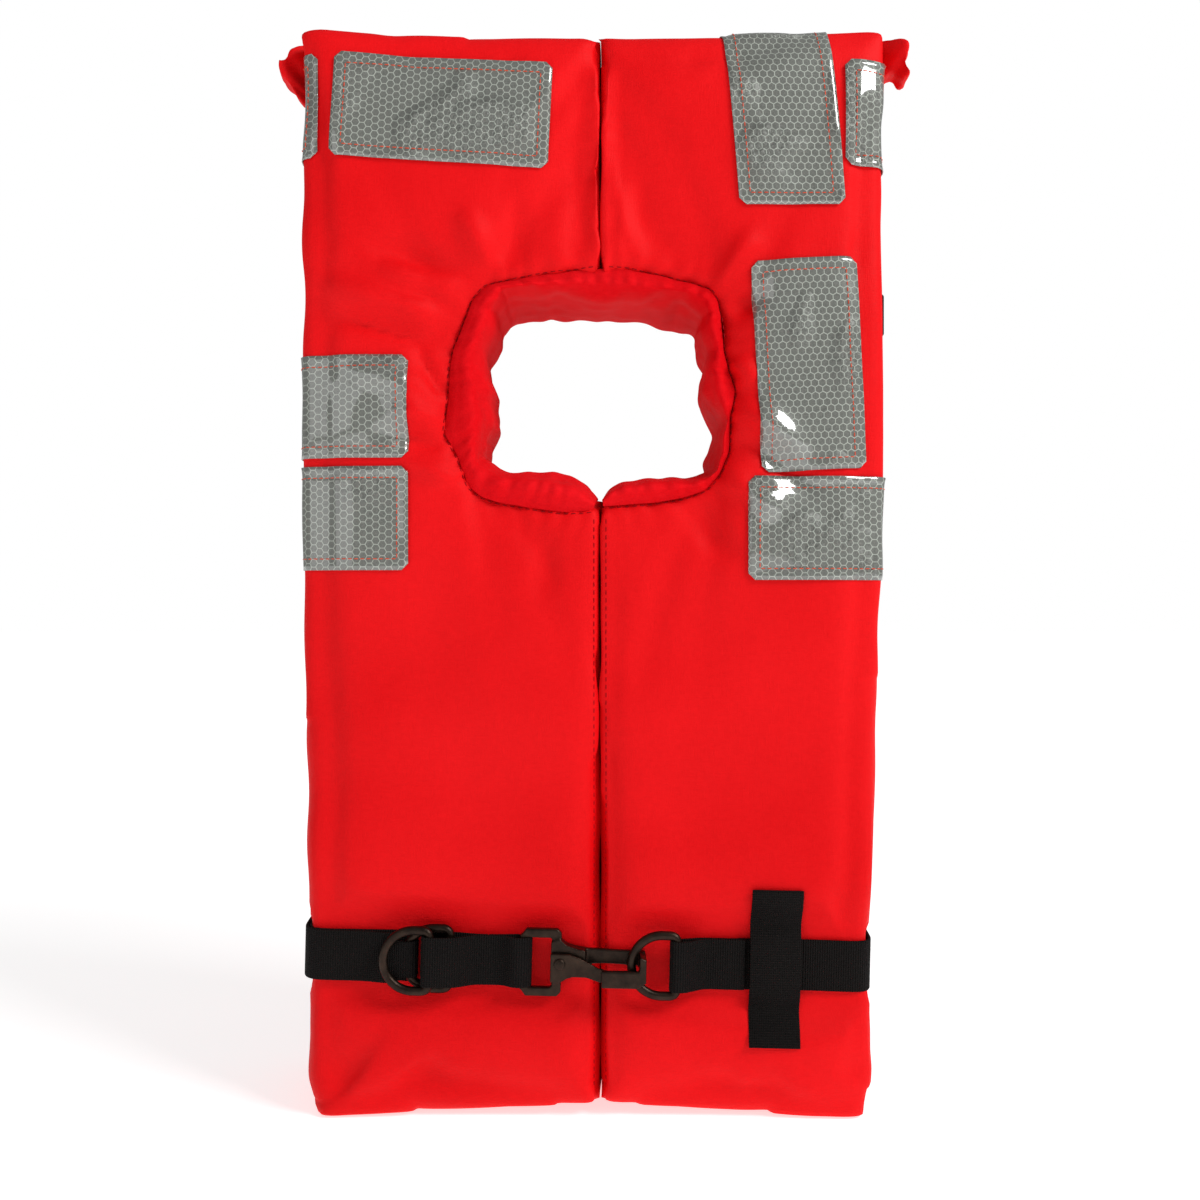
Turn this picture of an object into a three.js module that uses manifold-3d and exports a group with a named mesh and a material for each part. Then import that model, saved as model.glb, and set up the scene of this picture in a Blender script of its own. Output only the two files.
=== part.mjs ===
// A keyhole life jacket: a flat foam vest with a neck opening, two chest panels and a collar.
// Millimetres, +Z up, the front faces -Y. The origin is on the floor under the middle of the jacket.
import * as THREE from "three";
import Module from "manifold-3d";
import { mergeVertices } from "three/addons/utils/BufferGeometryUtils.js";
import { ConvexGeometry } from "three/addons/geometries/ConvexGeometry.js";

const wasm = await Module();
wasm.setup();

// ---------- driving dimensions ----------
const HALF_WIDTH = 139;
const HEIGHT = 526;
const HALF_DEPTH = 40;
const SLIT_X = 4; // the slit between the chest panels, and the collar's centre seam
const SLIT_HALF_GAP = 1;
const FLEX_Z = 350; // the foam bends across the shoulders at this height
const FLEX_DEG = 50;
const KNUCKLE_R = 36;
const CLOTH = 1.2;
const EDGE_ROUND = 5.5; // the cloth turns over the foam's edges with this radius
const GAP = 0.3;

const WEB = 1.5; // webbing thickness
const WEB_WIDTH = 24;
const BELT_Z = 76.6;
const BELT_TILT = 0.024; // radians: the belt runs slightly down towards +X

const TAPE = 0.5;
const TAPE_LONG = 101.6;
const TAPE_SHORT = 50.8;
const TAPE_CLIP = 4;

const RING_HEIGHT = 33;
const RING_WIDTH = 26;
const WIRE_R = 2.1;

// The neck opening's outline, from the slit clockwise as seen from the front, in x and z.
const NECK_SIDE_LEFT = -58;
const NECK_SIDE_RIGHT = 60;
const NECK_LEFT = [
  [SLIT_X - SLIT_HALF_GAP, 298],
  [-10, 308],
  [-50, 310],
  [NECK_SIDE_LEFT, 344],
];
const NECK_TOP = [
  [NECK_SIDE_LEFT, 352],
  [-55, 382],
  [-45, 396],
  [SLIT_X, 404],
  [51, 398],
  [NECK_SIDE_RIGHT, 384],
  [NECK_SIDE_RIGHT, 352],
];
const NECK_RIGHT = [
  [NECK_SIDE_RIGHT, 344],
  [57, 320],
  [48, 310],
  [18, 307],
  [SLIT_X + SLIT_HALF_GAP, 298],
];
const CORNER = [8, 17]; // how far the bottom outer corners are cut in x and in z
const SLIT_RISE = 8; // the bottom edge is higher at the slit

// ---------- materials ----------
const paint = (color, roughness, metalness = 0) =>
  new THREE.MeshStandardMaterial({ color, roughness, metalness });
const cloth = paint(0xe0201c, 0.75);
const foam = paint(0xe8e6e0, 0.95);
const tape = paint(0x7c807c, 0.3, 0.2);
const webbing = paint(0x14120f, 0.85);
const hardware = paint(0x3a332c, 0.45, 0.6);

// ---------- solids ----------
function toSolid(geometry) {
  const bare = geometry.clone();
  bare.deleteAttribute("normal");
  bare.deleteAttribute("uv");
  const merged = mergeVertices(bare, 1e-4);
  return new wasm.Manifold(
    new wasm.Mesh({
      numProp: 3,
      vertProperties: merged.attributes.position.array,
      triVerts: new Uint32Array(merged.index.array),
    }),
  );
}

function toGeometry(solid) {
  const { vertProperties, triVerts } = solid.getMesh();
  const geometry = new THREE.BufferGeometry();
  geometry.setAttribute("position", new THREE.BufferAttribute(vertProperties, 3));
  geometry.setIndex(new THREE.BufferAttribute(triVerts, 1));
  geometry.computeVertexNormals();
  return geometry;
}

const shapeOf = (points) => new THREE.Shape(points.map(([a, b]) => new THREE.Vector2(a, b)));

function extrude(shape, depth) {
  return new THREE.ExtrudeGeometry(shape, { depth, bevelEnabled: false, curveSegments: 24 });
}

// An outline in x and z, solid from y0 to y1.
function prismY(shape, y0, y1) {
  return toSolid(extrude(shape, y1 - y0).rotateX(Math.PI / 2).translate(0, y1, 0));
}

// The same with both rims rounded.
function cushion(outline, halfDepth, round) {
  const geometry = new THREE.ExtrudeGeometry(shapeOf(outline), {
    depth: 2 * (halfDepth - round),
    bevelThickness: round,
    bevelSize: round,
    bevelOffset: -round,
    bevelSegments: 3,
  });
  return toSolid(geometry.rotateX(Math.PI / 2).translate(0, halfDepth - round, 0));
}

// An outline in x and y, solid from z0 to z1.
function prismZ(shape, z0, z1) {
  return toSolid(extrude(shape, z1 - z0).translate(0, 0, z0));
}

// An outline in y and z, solid from x0 to x1.
function prismX(shape, x0, x1) {
  const turn = new THREE.Matrix4().makeBasis(
    new THREE.Vector3(0, 1, 0),
    new THREE.Vector3(0, 0, 1),
    new THREE.Vector3(1, 0, 0),
  );
  return toSolid(extrude(shape, x1 - x0).applyMatrix4(turn).translate(x0, 0, 0));
}

function box(x0, x1, y0, y1, z0, z1) {
  return toSolid(
    new THREE.BoxGeometry(x1 - x0, y1 - y0, z1 - z0).translate(
      (x0 + x1) / 2,
      (y0 + y1) / 2,
      (z0 + z1) / 2,
    ),
  );
}

// A cylinder along Y.
function postY(x, z, radius, y0, y1, sides = 24) {
  return toSolid(
    new THREE.CylinderGeometry(radius, radius, y1 - y0, sides).translate(x, (y0 + y1) / 2, z),
  );
}

const jacket = new THREE.Group();
const belt = new THREE.Group(); // tilted with the belt
jacket.add(belt);

function piece(group, name, solid, material) {
  const mesh = new THREE.Mesh(solid.isBufferGeometry ? solid : toGeometry(solid), material);
  mesh.name = name;
  group.add(mesh);
  return mesh;
}

// ---------- outlines ----------
// Moves each edge of a closed outline inwards by d, and joins the moved edges again.
function inset(points, d) {
  const turn = Math.sign(THREE.ShapeUtils.area(points.map(([x, y]) => new THREE.Vector2(x, y))));
  return points.map((p, i) => {
    const before = points.at(i - 1);
    const after = points[(i + 1) % points.length];
    const normals = [
      [p[0] - before[0], p[1] - before[1]],
      [after[0] - p[0], after[1] - p[1]],
    ].map(([x, y]) => [(-y * turn) / Math.hypot(x, y), (x * turn) / Math.hypot(x, y)]);
    const [[ax, ay], [bx, by]] = normals;
    const scale = d / (1 + ax * bx + ay * by);
    return [p[0] + (ax + bx) * scale, p[1] + (ay + by) * scale];
  });
}

const CHEST_TOP = FLEX_Z - 2 * GAP;
const COLLAR_BOTTOM = FLEX_Z + 2 * GAP;
const chestLeft = [
  [-HALF_WIDTH + CORNER[0], 0],
  [SLIT_X - SLIT_HALF_GAP, SLIT_RISE],
  ...NECK_LEFT,
  [NECK_SIDE_LEFT, CHEST_TOP],
  [-HALF_WIDTH, CHEST_TOP],
  [-HALF_WIDTH, CORNER[1]],
];
const chestRight = [
  [HALF_WIDTH - CORNER[0], 0],
  [HALF_WIDTH, CORNER[1]],
  [HALF_WIDTH, CHEST_TOP],
  [NECK_SIDE_RIGHT, CHEST_TOP],
  ...NECK_RIGHT,
  [SLIT_X + SLIT_HALF_GAP, SLIT_RISE],
];
const collar = [
  [-HALF_WIDTH, COLLAR_BOTTOM],
  [NECK_SIDE_LEFT, COLLAR_BOTTOM],
  ...NECK_TOP.slice(1, 6),
  [NECK_SIDE_RIGHT, COLLAR_BOTTOM],
  [HALF_WIDTH, COLLAR_BOTTOM],
  [HALF_WIDTH, HEIGHT],
  [SLIT_X, HEIGHT - 4],
  [-HALF_WIDTH, HEIGHT],
];

// A band of even thickness along a path that turns with rounded corners.
function bandShape(points, radius, thickness) {
  const path = new THREE.Path();
  path.moveTo(...points[0]);
  for (let i = 1; i < points.length - 1; i++) {
    const [x, y] = points[i];
    const toward = ([px, py]) => {
      const length = Math.hypot(px - x, py - y);
      const cut = Math.min(radius, length / 2);
      return [x + ((px - x) / length) * cut, y + ((py - y) / length) * cut];
    };
    path.lineTo(...toward(points[i - 1]));
    path.quadraticCurveTo(x, y, ...toward(points[i + 1]));
  }
  path.lineTo(...points.at(-1));
  const line = path.getPoints(5).filter((p, i, all) => i === 0 || p.distanceTo(all[i - 1]) > 1e-3);
  const sides = [1, -1].map((side) =>
    line.map((p, i) => {
      const along = line[Math.min(i + 1, line.length - 1)].clone().sub(line[Math.max(i - 1, 0)]);
      along.normalize();
      const off = (side * thickness) / 2;
      return [p.x - along.y * off, p.y + along.x * off];
    }),
  );
  return shapeOf([...sides[0], ...sides[1].reverse()]);
}

// ---------- the bend across the shoulders ----------
const flex = THREE.MathUtils.degToRad(FLEX_DEG);

// A cylinder along X on the bend's axis.
function barX(radius, x0, x1, sides = 48) {
  const bar = new THREE.CylinderGeometry(radius, radius, x1 - x0, sides);
  return toSolid(bar.rotateZ(Math.PI / 2).translate((x0 + x1) / 2, 0, FLEX_Z));
}

// What the collar's rear edge sweeps as it leans back, taken out of the chest.
function rearRelief() {
  const reach = HALF_DEPTH + 0.8;
  const low = [reach * Math.cos(flex + 0.02), -reach * Math.sin(flex + 0.02)];
  const outer = HALF_DEPTH + 8;
  const rise = (outer - low[0]) / Math.tan(flex);
  const points = [
    [0, 0],
    low,
    [outer, low[1] + rise],
    [outer, 9],
    [0, 9],
  ];
  return prismX(shapeOf(points.map(([y, z]) => [y, z + FLEX_Z])), -160, 160);
}
const relief = rearRelief();
const seats = barX(KNUCKLE_R + 2 * GAP, -133, -76).add(barX(KNUCKLE_R + 2 * GAP, 76, 133));
const bendRoom = relief.add(seats);

// ---------- covers and foam ----------
const SEAM_Y = GAP / 2; // the front and rear cloth meet at half depth

function shell(outline) {
  const room = cushion(inset(outline, CLOTH), HALF_DEPTH - CLOTH, EDGE_ROUND - CLOTH);
  return cushion(outline, HALF_DEPTH, EDGE_ROUND).subtract(room);
}
const frontHalf = box(-200, 200, -60, -SEAM_Y, -50, 600);
const rearHalf = box(-200, 200, SEAM_Y, 60, -50, 600);
const frontCover = (outline) => shell(outline).intersect(frontHalf);
const rearCover = (outline) => shell(outline).intersect(rearHalf);

const FOAM_IN = CLOTH + GAP;
const foamBlock = (outline) =>
  cushion(inset(outline, FOAM_IN), HALF_DEPTH - FOAM_IN, EDGE_ROUND - FOAM_IN);

for (const [side, outline] of [
  ["left", chestLeft],
  ["right", chestRight],
]) {
  piece(jacket, `chest_${side}_front_cover`, frontCover(outline).subtract(bendRoom), cloth);
  piece(jacket, `chest_${side}_rear_cover`, rearCover(outline).subtract(bendRoom), cloth);
  const block = foamBlock(outline).subtract(bendRoom);
  piece(jacket, `chest_${side}_front_foam`, block.intersect(frontHalf), foam);
  piece(jacket, `chest_${side}_rear_foam`, block.intersect(rearHalf), foam);
}

// The collar's cover is open where its foam goes down into the shoulders.
const shoulderMouth = box(-133, -76, -36, 36, 340, 354).add(box(76, 133, -36, 36, 340, 354));
const collarFront = frontCover(collar).subtract(shoulderMouth);
const leftOfSeam = box(-200, SLIT_X - GAP / 2, -60, 60, 200, 600);
const rightOfSeam = box(SLIT_X + GAP / 2, 200, -60, 60, 200, 600);
piece(jacket, "collar_left_front_cover", collarFront.intersect(leftOfSeam), cloth);
piece(jacket, "collar_right_front_cover", collarFront.intersect(rightOfSeam), cloth);
piece(jacket, "collar_rear_cover", rearCover(collar).subtract(shoulderMouth), cloth);

const knuckles = barX(KNUCKLE_R, -132, -77).add(barX(KNUCKLE_R, 77, 132));
const stems = box(-132, -77, -34, 34, FLEX_Z, 360).add(box(77, 132, -34, 34, FLEX_Z, 360));
const lower = knuckles.subtract(box(-150, 150, -60, 60, FLEX_Z, 420)).add(stems);
const collarBlock = foamBlock(collar).add(lower);
piece(jacket, "collar_front_foam", collarBlock.intersect(frontHalf), foam);
piece(jacket, "collar_rear_foam", collarBlock.intersect(rearHalf), foam);

// ---------- the cloth that lines the neck opening ----------
// A strip along a line of points, GAP inside it, as thick as the cloth.
function lining(points, inwards) {
  const offset = (d) =>
    points.map(([x, z], i) => {
      const a = points[Math.max(i - 1, 0)];
      const b = points[Math.min(i + 1, points.length - 1)];
      const length = Math.hypot(b[0] - a[0], b[1] - a[1]);
      return [
        x + ((inwards * (b[1] - a[1])) / length) * d,
        z - ((inwards * (b[0] - a[0])) / length) * d,
      ];
    });
  const strip = [...offset(2 * GAP), ...offset(2 * GAP + CLOTH).reverse()];
  return prismY(shapeOf(strip), -HALF_DEPTH + 0.5, HALF_DEPTH - 0.5);
}
const liningLeft = lining(NECK_LEFT, 1).subtract(relief).intersect(leftOfSeam);
const liningRight = lining(NECK_RIGHT, 1).subtract(relief).intersect(rightOfSeam);
piece(jacket, "neck_lining_left", liningLeft, cloth);
piece(jacket, "neck_lining_right", liningRight, cloth);
piece(jacket, "neck_lining_top", lining(NECK_TOP, 1), cloth);

// ---------- the corners of spare cloth at the top ----------
for (const [name, side] of [
  ["corner_tuck_left", -1],
  ["corner_tuck_right", 1],
]) {
  const root = side * (HALF_WIDTH + GAP);
  const corners = [
    [root, -16, HEIGHT - 4],
    [root, 30, HEIGHT - 4],
    [root, -12, HEIGHT - 30],
    [root, 16, HEIGHT - 30],
    [side * (HALF_WIDTH + 11), -9, HEIGHT - 8],
    [side * (HALF_WIDTH + 11), 12, HEIGHT - 8],
    [side * (HALF_WIDTH + 12), 0, HEIGHT - 24],
  ];
  piece(jacket, name, new ConvexGeometry(corners.map((p) => new THREE.Vector3(...p))), cloth);
}

// ---------- reflective tape ----------
function clipped(width, height) {
  const [w, h, c] = [width / 2, height / 2, TAPE_CLIP];
  return shapeOf([
    [-w + c, -h],
    [w - c, -h],
    [w, -h + c],
    [w, h - c],
    [w - c, h],
    [-w + c, h],
    [-w, h - c],
    [-w, -h + c],
  ]);
}

// A flat patch centred on x, z, leaning by a few degrees, on the front or on the back.
function flatTape(name, x, z, width, height, lean, rear = false) {
  const y = rear ? HALF_DEPTH + GAP : -HALF_DEPTH - GAP - TAPE;
  const mesh = piece(jacket, name, prismY(clipped(width, height), y, y + TAPE), tape);
  mesh.position.set(x, 0, z);
  mesh.rotation.y = THREE.MathUtils.degToRad(lean);
}

const TAPE_OUT = GAP + TAPE / 2;
const TAPE_FRONT = -HALF_DEPTH - TAPE_OUT;
const TAPE_TURN = EDGE_ROUND + TAPE_OUT;

// A patch that starts at x on the front, goes round the side edge and ends at y on the side.
function sideTape(name, x, endY, z0, z1) {
  const wall = Math.sign(x) * (HALF_WIDTH + TAPE_OUT);
  const path = [
    [x, TAPE_FRONT],
    [wall, TAPE_FRONT],
    [wall, endY],
  ];
  piece(jacket, name, prismZ(bandShape(path, TAPE_TURN, TAPE), z0, z1), tape);
}

// A patch that goes over the top edge, from z on the front to y on the top.
function topTape(name, x0, x1, z, endY) {
  const path = [
    [TAPE_FRONT, z],
    [TAPE_FRONT, HEIGHT + TAPE_OUT],
    [endY, HEIGHT + TAPE_OUT],
  ];
  piece(jacket, name, prismX(bandShape(path, TAPE_TURN, TAPE), x0, x1), tape);
}

flatTape("tape_collar_left", -72.4, 486.3, TAPE_LONG, TAPE_SHORT, 2.8);
flatTape("tape_shoulder_right", 104.6, 363.4, TAPE_SHORT, TAPE_LONG, -3);
topTape("tape_collar_top", 66.5, 117.3, 444, -20);
sideTape("tape_collar_side_right", 121.5, -18, 459, 510);
sideTape("tape_collar_side_left", -132, -18, 463, 514);
sideTape("tape_chest_right", 75, -3, 259.5, 310);
sideTape("tape_chest_left_upper", -88, 6, 318.5, 368);
sideTape("tape_chest_left_lower", -88, 6, 264.5, 314.5);
flatTape("tape_rear_collar_left", -70, 470, TAPE_LONG, TAPE_SHORT, 0, true);
flatTape("tape_rear_collar_right", 76, 470, TAPE_LONG, TAPE_SHORT, 0, true);
flatTape("tape_rear_chest_left", -70, 250, TAPE_LONG, TAPE_SHORT, 0, true);
flatTape("tape_rear_chest_right", 78, 250, TAPE_LONG, TAPE_SHORT, 0, true);

// ---------- webbing ----------
const band = (points, halfWidth, radius = 4) =>
  prismZ(bandShape(points, radius, WEB), -halfWidth, halfWidth);

const FIRST = HALF_DEPTH + GAP + WEB / 2; // the layer of webbing against the cloth
const SECOND = FIRST + WEB + GAP;
const SIDE_BOW = HALF_WIDTH + 8; // the belt stands off the sides at half depth
const RING_A = { x: -101.3, y: -49.4 }; // the adjuster rings' outer left edges, and their depths
const RING_B = { x: -92, y: -44.6 };
const RING_C = { x: 16.9, y: -47.8 }; // the closing ring
const barOf = (ring) => ring.x + RING_WIDTH - WIRE_R;
const foldX = RING_B.x + 2 * WIRE_R + 2.4 + WEB;

const underRings = [
  [foldX, -FIRST],
  [-HALF_WIDTH - 1.6, -FIRST],
  [-SIDE_BOW, -10],
  [-SIDE_BOW, 10],
  [-HALF_WIDTH - 1.6, FIRST],
  [HALF_WIDTH + 1.6, FIRST],
  [SIDE_BOW, 10],
  [SIDE_BOW, -10],
  [HALF_WIDTH + 1.6, -FIRST],
  [72, -FIRST],
];
const ringFront = RING_C.y - WIRE_R - GAP - WEB / 2;
const ringRear = RING_C.y + WIRE_R + GAP + WEB / 2;
const closingLoop = [
  [72, -FIRST],
  [52, -FIRST],
  [barOf(RING_C) + 2, ringRear],
  [barOf(RING_C) - WIRE_R - GAP - WEB / 2, ringRear],
  [barOf(RING_C) - WIRE_R - GAP - WEB / 2, ringFront],
  [barOf(RING_C) + 3, ringFront],
  [54, -SECOND],
  [72, -SECOND],
];
const HALF_WEB = WEB_WIDTH / 2;
const NARROW = 7; // the belt gathers to this half width where it goes round the second ring
const tail = [
  [-95, -45.6],
  [-100, -45.6],
  [-108, -SECOND],
  [-HALF_WIDTH - 3.4, -SECOND],
  [-SIDE_BOW - WEB - GAP, -8],
  [-SIDE_BOW - WEB - GAP, 6],
];
const gathered = [
  [foldX - 3, -FIRST],
  [foldX, -FIRST],
  [foldX, RING_B.y - WIRE_R - GAP - WEB / 2],
  [RING_B.x + 1, RING_B.y - WIRE_R - GAP - WEB / 2],
  [-96, -45.6],
  [-99, -45.6],
];
const stitched = box(70, 74, -SECOND - WEB / 2, -FIRST + WEB / 2, -HALF_WEB, HALF_WEB);
const bodyBelt = band(underRings, HALF_WEB)
  .add(band(closingLoop, HALF_WEB, 2))
  .add(band(tail, HALF_WEB))
  .add(band(gathered, NARROW, 1.5))
  .add(stitched);
piece(belt, "body_belt", bodyBelt, webbing);

// The short strap: one loop round both adjuster rings' bars, sewn flat, and one round the hook's bar.
const HOOK_BAR_X = -32.5;
const HOOK_Y = -45.6;
const BAR = 2; // half thickness of the hook's bar
const strapMiddle = -44;
function loopRound(x0, x1, y0, y1, tailX, half = HALF_WEB) {
  const room = GAP + 0.2;
  const outer = new THREE.Shape();
  const [left, right] = [Math.min(x0, x1) - room - WEB, Math.max(x0, x1) + room + WEB];
  const [front, rear] = [y0 - room - WEB, y1 + room + WEB];
  outer.setFromPoints(
    [
      [left + 2, front],
      [right - 2, front],
      [right, front + 2],
      [right, rear - 2],
      [right - 2, rear],
      [left + 2, rear],
      [left, rear - 2],
      [left, front + 2],
    ].map(([x, y]) => new THREE.Vector2(x, y)),
  );
  const inner = box(x0 - room, x1 + room, y0 - room, y1 + room, -half - 1, half + 1);
  const ramp = tailX > right ? [right - 2, tailX] : [left + 2, tailX];
  const taper = shapeOf([
    [ramp[0], front + 0.4],
    [ramp[0], rear - 0.4],
    [ramp[1], strapMiddle + WEB],
    [ramp[1], strapMiddle - WEB],
  ]);
  return prismZ(outer, -half, half).add(prismZ(taper, -half, half)).subtract(inner);
}
const ringLoop = loopRound(
  barOf(RING_A) - WIRE_R,
  barOf(RING_B) + WIRE_R,
  RING_A.y - WIRE_R,
  RING_B.y + WIRE_R,
  -56,
  10.6,
);
const hookLoop = loopRound(HOOK_BAR_X - BAR, HOOK_BAR_X + BAR, HOOK_Y - BAR, HOOK_Y + BAR, -42);
const middle = box(-57, -41, strapMiddle - WEB, strapMiddle + WEB, -HALF_WEB, HALF_WEB);
piece(belt, "hook_strap", ringLoop.add(middle).add(hookLoop), webbing);

// The upright keeper over the belt on the right, as a path in y and z.
const KEEPER_X = 88;
const KEEPER_HALF = 37.5;
function keeper() {
  const flat = -HALF_DEPTH - GAP;
  const over = -SECOND - WEB / 2 - 2 * GAP;
  const profile = [
    [flat, KEEPER_HALF],
    [flat, 20],
    [over, 15],
    [over, -15],
    [flat, -20],
    [flat, -KEEPER_HALF],
    [flat - WEB, -KEEPER_HALF],
    [flat - WEB, -21],
    [over - WEB, -16],
    [over - WEB, 16],
    [flat - WEB, 21],
    [flat - WEB, KEEPER_HALF],
  ];
  return prismX(shapeOf(profile), KEEPER_X - HALF_WEB, KEEPER_X + HALF_WEB);
}
piece(belt, "belt_keeper", keeper(), webbing);

// A loop for a light on the right side of the collar.
const LOOP_Z = 396;
function lightLoop() {
  const wall = HALF_WIDTH + GAP + WEB / 2;
  const path = [
    [wall, -24],
    [wall, -12],
    [wall + 9, -6],
    [wall + 9, 6],
    [wall, 12],
    [wall, 24],
  ];
  return band(path, 10).translate([0, 0, LOOP_Z]);
}
piece(jacket, "light_loop", lightLoop(), webbing);

// ---------- D rings ----------
// A half circle on the left, then two short straights and the bar with round corners.
function ringOutline() {
  const r = RING_HEIGHT / 2 - WIRE_R;
  const right = RING_WIDTH - 2 * WIRE_R - r;
  const corner = 3;
  const outline = new THREE.Path();
  outline.moveTo(0, r);
  outline.absarc(0, 0, r, Math.PI / 2, (3 * Math.PI) / 2, false);
  outline.lineTo(right - corner, -r);
  outline.quadraticCurveTo(right, -r, right, -r + corner);
  outline.lineTo(right, r - corner);
  outline.quadraticCurveTo(right, r, right - corner, r);
  outline.closePath();
  return outline.getSpacedPoints(44).slice(0, -1);
}

// Round wire bent along a closed outline in x and z.
function wireLoop(line, sides = 10) {
  const positions = [];
  const index = [];
  line.forEach((p, i) => {
    const along = line[(i + 1) % line.length].clone().sub(line.at(i - 1)).normalize();
    for (let k = 0; k < sides; k++) {
      const angle = (k / sides) * 2 * Math.PI;
      const out = WIRE_R * Math.cos(angle);
      positions.push(p.x + along.y * out, WIRE_R * Math.sin(angle), p.y - along.x * out);
      const [a, b] = [i * sides + k, i * sides + ((k + 1) % sides)];
      const [c, d] = [a, b].map((v) => (v + sides) % (line.length * sides));
      index.push(a, b, c, b, d, c);
    }
  });
  const geometry = new THREE.BufferGeometry();
  geometry.setAttribute("position", new THREE.Float32BufferAttribute(positions, 3));
  geometry.setIndex(index);
  return geometry;
}

function ring(name, place) {
  const geometry = wireLoop(ringOutline());
  geometry.translate(RING_HEIGHT / 2, 0, 0);
  geometry.computeVertexNormals();
  const mesh = piece(belt, name, geometry, hardware);
  mesh.position.set(place.x, place.y, 0);
}
ring("adjuster_ring_front", RING_A);
ring("adjuster_ring_rear", RING_B);
ring("closing_ring", RING_C);

// ---------- snap hook ----------
const RIVET = [-15.3, 0.4];
const ARM_Y = [-44.2, -41.2]; // the arm passes behind the closing ring
const NOSE_Y = [-54.4, -51.6]; // the nose lies in front of it
const GATE_Y = [-51.3, -49.1];

function hookBody() {
  const frame = prismY(
    shapeOf([
      [-34.5, -13],
      [-31.5, -16],
      [-16.5, -16],
      [-14.5, -13],
      [-14.5, 13],
      [-16.5, 16],
      [-31.5, 16],
      [-34.5, 13],
    ]),
    HOOK_Y - BAR,
    HOOK_Y + BAR,
  ).subtract(box(-30.5, -19.5, HOOK_Y - 4, HOOK_Y + 4, -12.5, 12.5));
  const shank = prismY(
    shapeOf([
      [-19.5, 10],
      [-14.5, 11],
      [-9, 7.2],
      [-3, 6.2],
      [-3, -3],
      [-10, -6.5],
      [-14.5, -9],
      [-19.5, -9],
    ]),
    -48.6,
    ARM_Y[1],
  );
  const arm = prismY(
    shapeOf([
      [-10, 7.6],
      [6, 6],
      [26, 5.4],
      [26, -1.6],
      [6, -0.2],
      [-10, -2],
    ]),
    ...ARM_Y,
  );
  const bend = prismY(
    shapeOf([
      [22.8, 5.4],
      [26, 4],
      [26, -4.2],
      [22.8, -4.2],
    ]),
    NOSE_Y[0],
    ARM_Y[1],
  );
  const nose = prismY(
    shapeOf([
      [4.8, -9.6],
      [22.4, -9.6],
      [26, -7],
      [26, -1.6],
      [4.8, -1.6],
    ]),
    ...NOSE_Y,
  );
  const bore = postY(...RIVET, 1.9, -60, -30);
  const springSeat = postY(...RIVET, 4.4, -50, -47.1);
  return frame.add(shank).add(arm).add(bend).add(nose).subtract(bore).subtract(springSeat);
}

function hookGate() {
  const outline = shapeOf([
    [-19.6, 5],
    [-11, 4.8],
    [-2, 1.6],
    [3, -1.2],
    [7.4, -2.2],
    [7.4, -8.2],
    [4, -7.8],
    [-2, -5.6],
    [-9, -5.4],
    [-15, -7.6],
    [-19.6, -7.6],
  ]);
  return prismY(outline, ...GATE_Y).subtract(postY(...RIVET, 2, -60, -30));
}

function rivet() {
  const head = postY(...RIVET, 2.8, GATE_Y[0] - 1, GATE_Y[0] - GAP);
  const stem = postY(...RIVET, 1.6, GATE_Y[0] - 0.8, ARM_Y[1] + 0.4);
  const foot = postY(...RIVET, 2.5, ARM_Y[1] + GAP, ARM_Y[1] + 0.8);
  return head.add(stem).add(foot);
}

function gateSpring() {
  return postY(...RIVET, 4, -48.8, -47.4, 20).subtract(postY(...RIVET, 2.8, -60, -30, 20));
}
piece(belt, "snap_hook", hookBody(), hardware);
piece(belt, "hook_gate", hookGate(), hardware);
piece(belt, "gate_rivet", rivet(), hardware);
piece(belt, "gate_spring", gateSpring(), hardware);

belt.position.z = BELT_Z;
belt.rotation.y = BELT_TILT;
jacket.position.y = 5; // the buckle stands out in front, so the box is centred this far forward

const part = new THREE.Group();
part.add(jacket);
export default part;
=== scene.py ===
"""The looks of a keyhole life jacket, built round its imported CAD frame. Lengths are in millimetres
until a mesh is made; the front faces -Y."""

import math

import bmesh
import bpy
import numpy as np
from mathutils import Matrix, Vector
from mathutils.bvhtree import BVHTree


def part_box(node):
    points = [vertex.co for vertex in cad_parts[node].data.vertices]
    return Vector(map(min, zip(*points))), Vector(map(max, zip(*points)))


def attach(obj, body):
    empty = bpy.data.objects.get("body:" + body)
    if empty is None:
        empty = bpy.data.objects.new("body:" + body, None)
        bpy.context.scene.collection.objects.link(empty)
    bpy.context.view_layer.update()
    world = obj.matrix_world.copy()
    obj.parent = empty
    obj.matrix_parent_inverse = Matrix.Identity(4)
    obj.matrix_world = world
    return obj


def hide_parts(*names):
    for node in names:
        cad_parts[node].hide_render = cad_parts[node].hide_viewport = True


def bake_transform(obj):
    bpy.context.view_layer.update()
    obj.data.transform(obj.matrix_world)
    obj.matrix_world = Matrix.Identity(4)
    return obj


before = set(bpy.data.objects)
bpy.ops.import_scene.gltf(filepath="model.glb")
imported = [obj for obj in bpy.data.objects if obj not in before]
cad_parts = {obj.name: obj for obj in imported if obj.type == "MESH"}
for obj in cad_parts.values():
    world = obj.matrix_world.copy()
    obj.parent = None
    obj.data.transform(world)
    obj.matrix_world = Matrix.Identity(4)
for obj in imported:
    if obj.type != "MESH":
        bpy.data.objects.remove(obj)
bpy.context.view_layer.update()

MM = 0.001
FAR, TINY = 1e9, 1e-9
SLIT = 4.0  # x of the slit and of the collar's centre seam
MIDDLE_Y = 5.0  # half depth of the jacket
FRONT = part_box("chest_left_front_cover")[0].y / MM
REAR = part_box("chest_left_rear_cover")[1].y / MM
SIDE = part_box("chest_right_front_cover")[1].x / MM
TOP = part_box("collar_rear_cover")[1].z / MM

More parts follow.
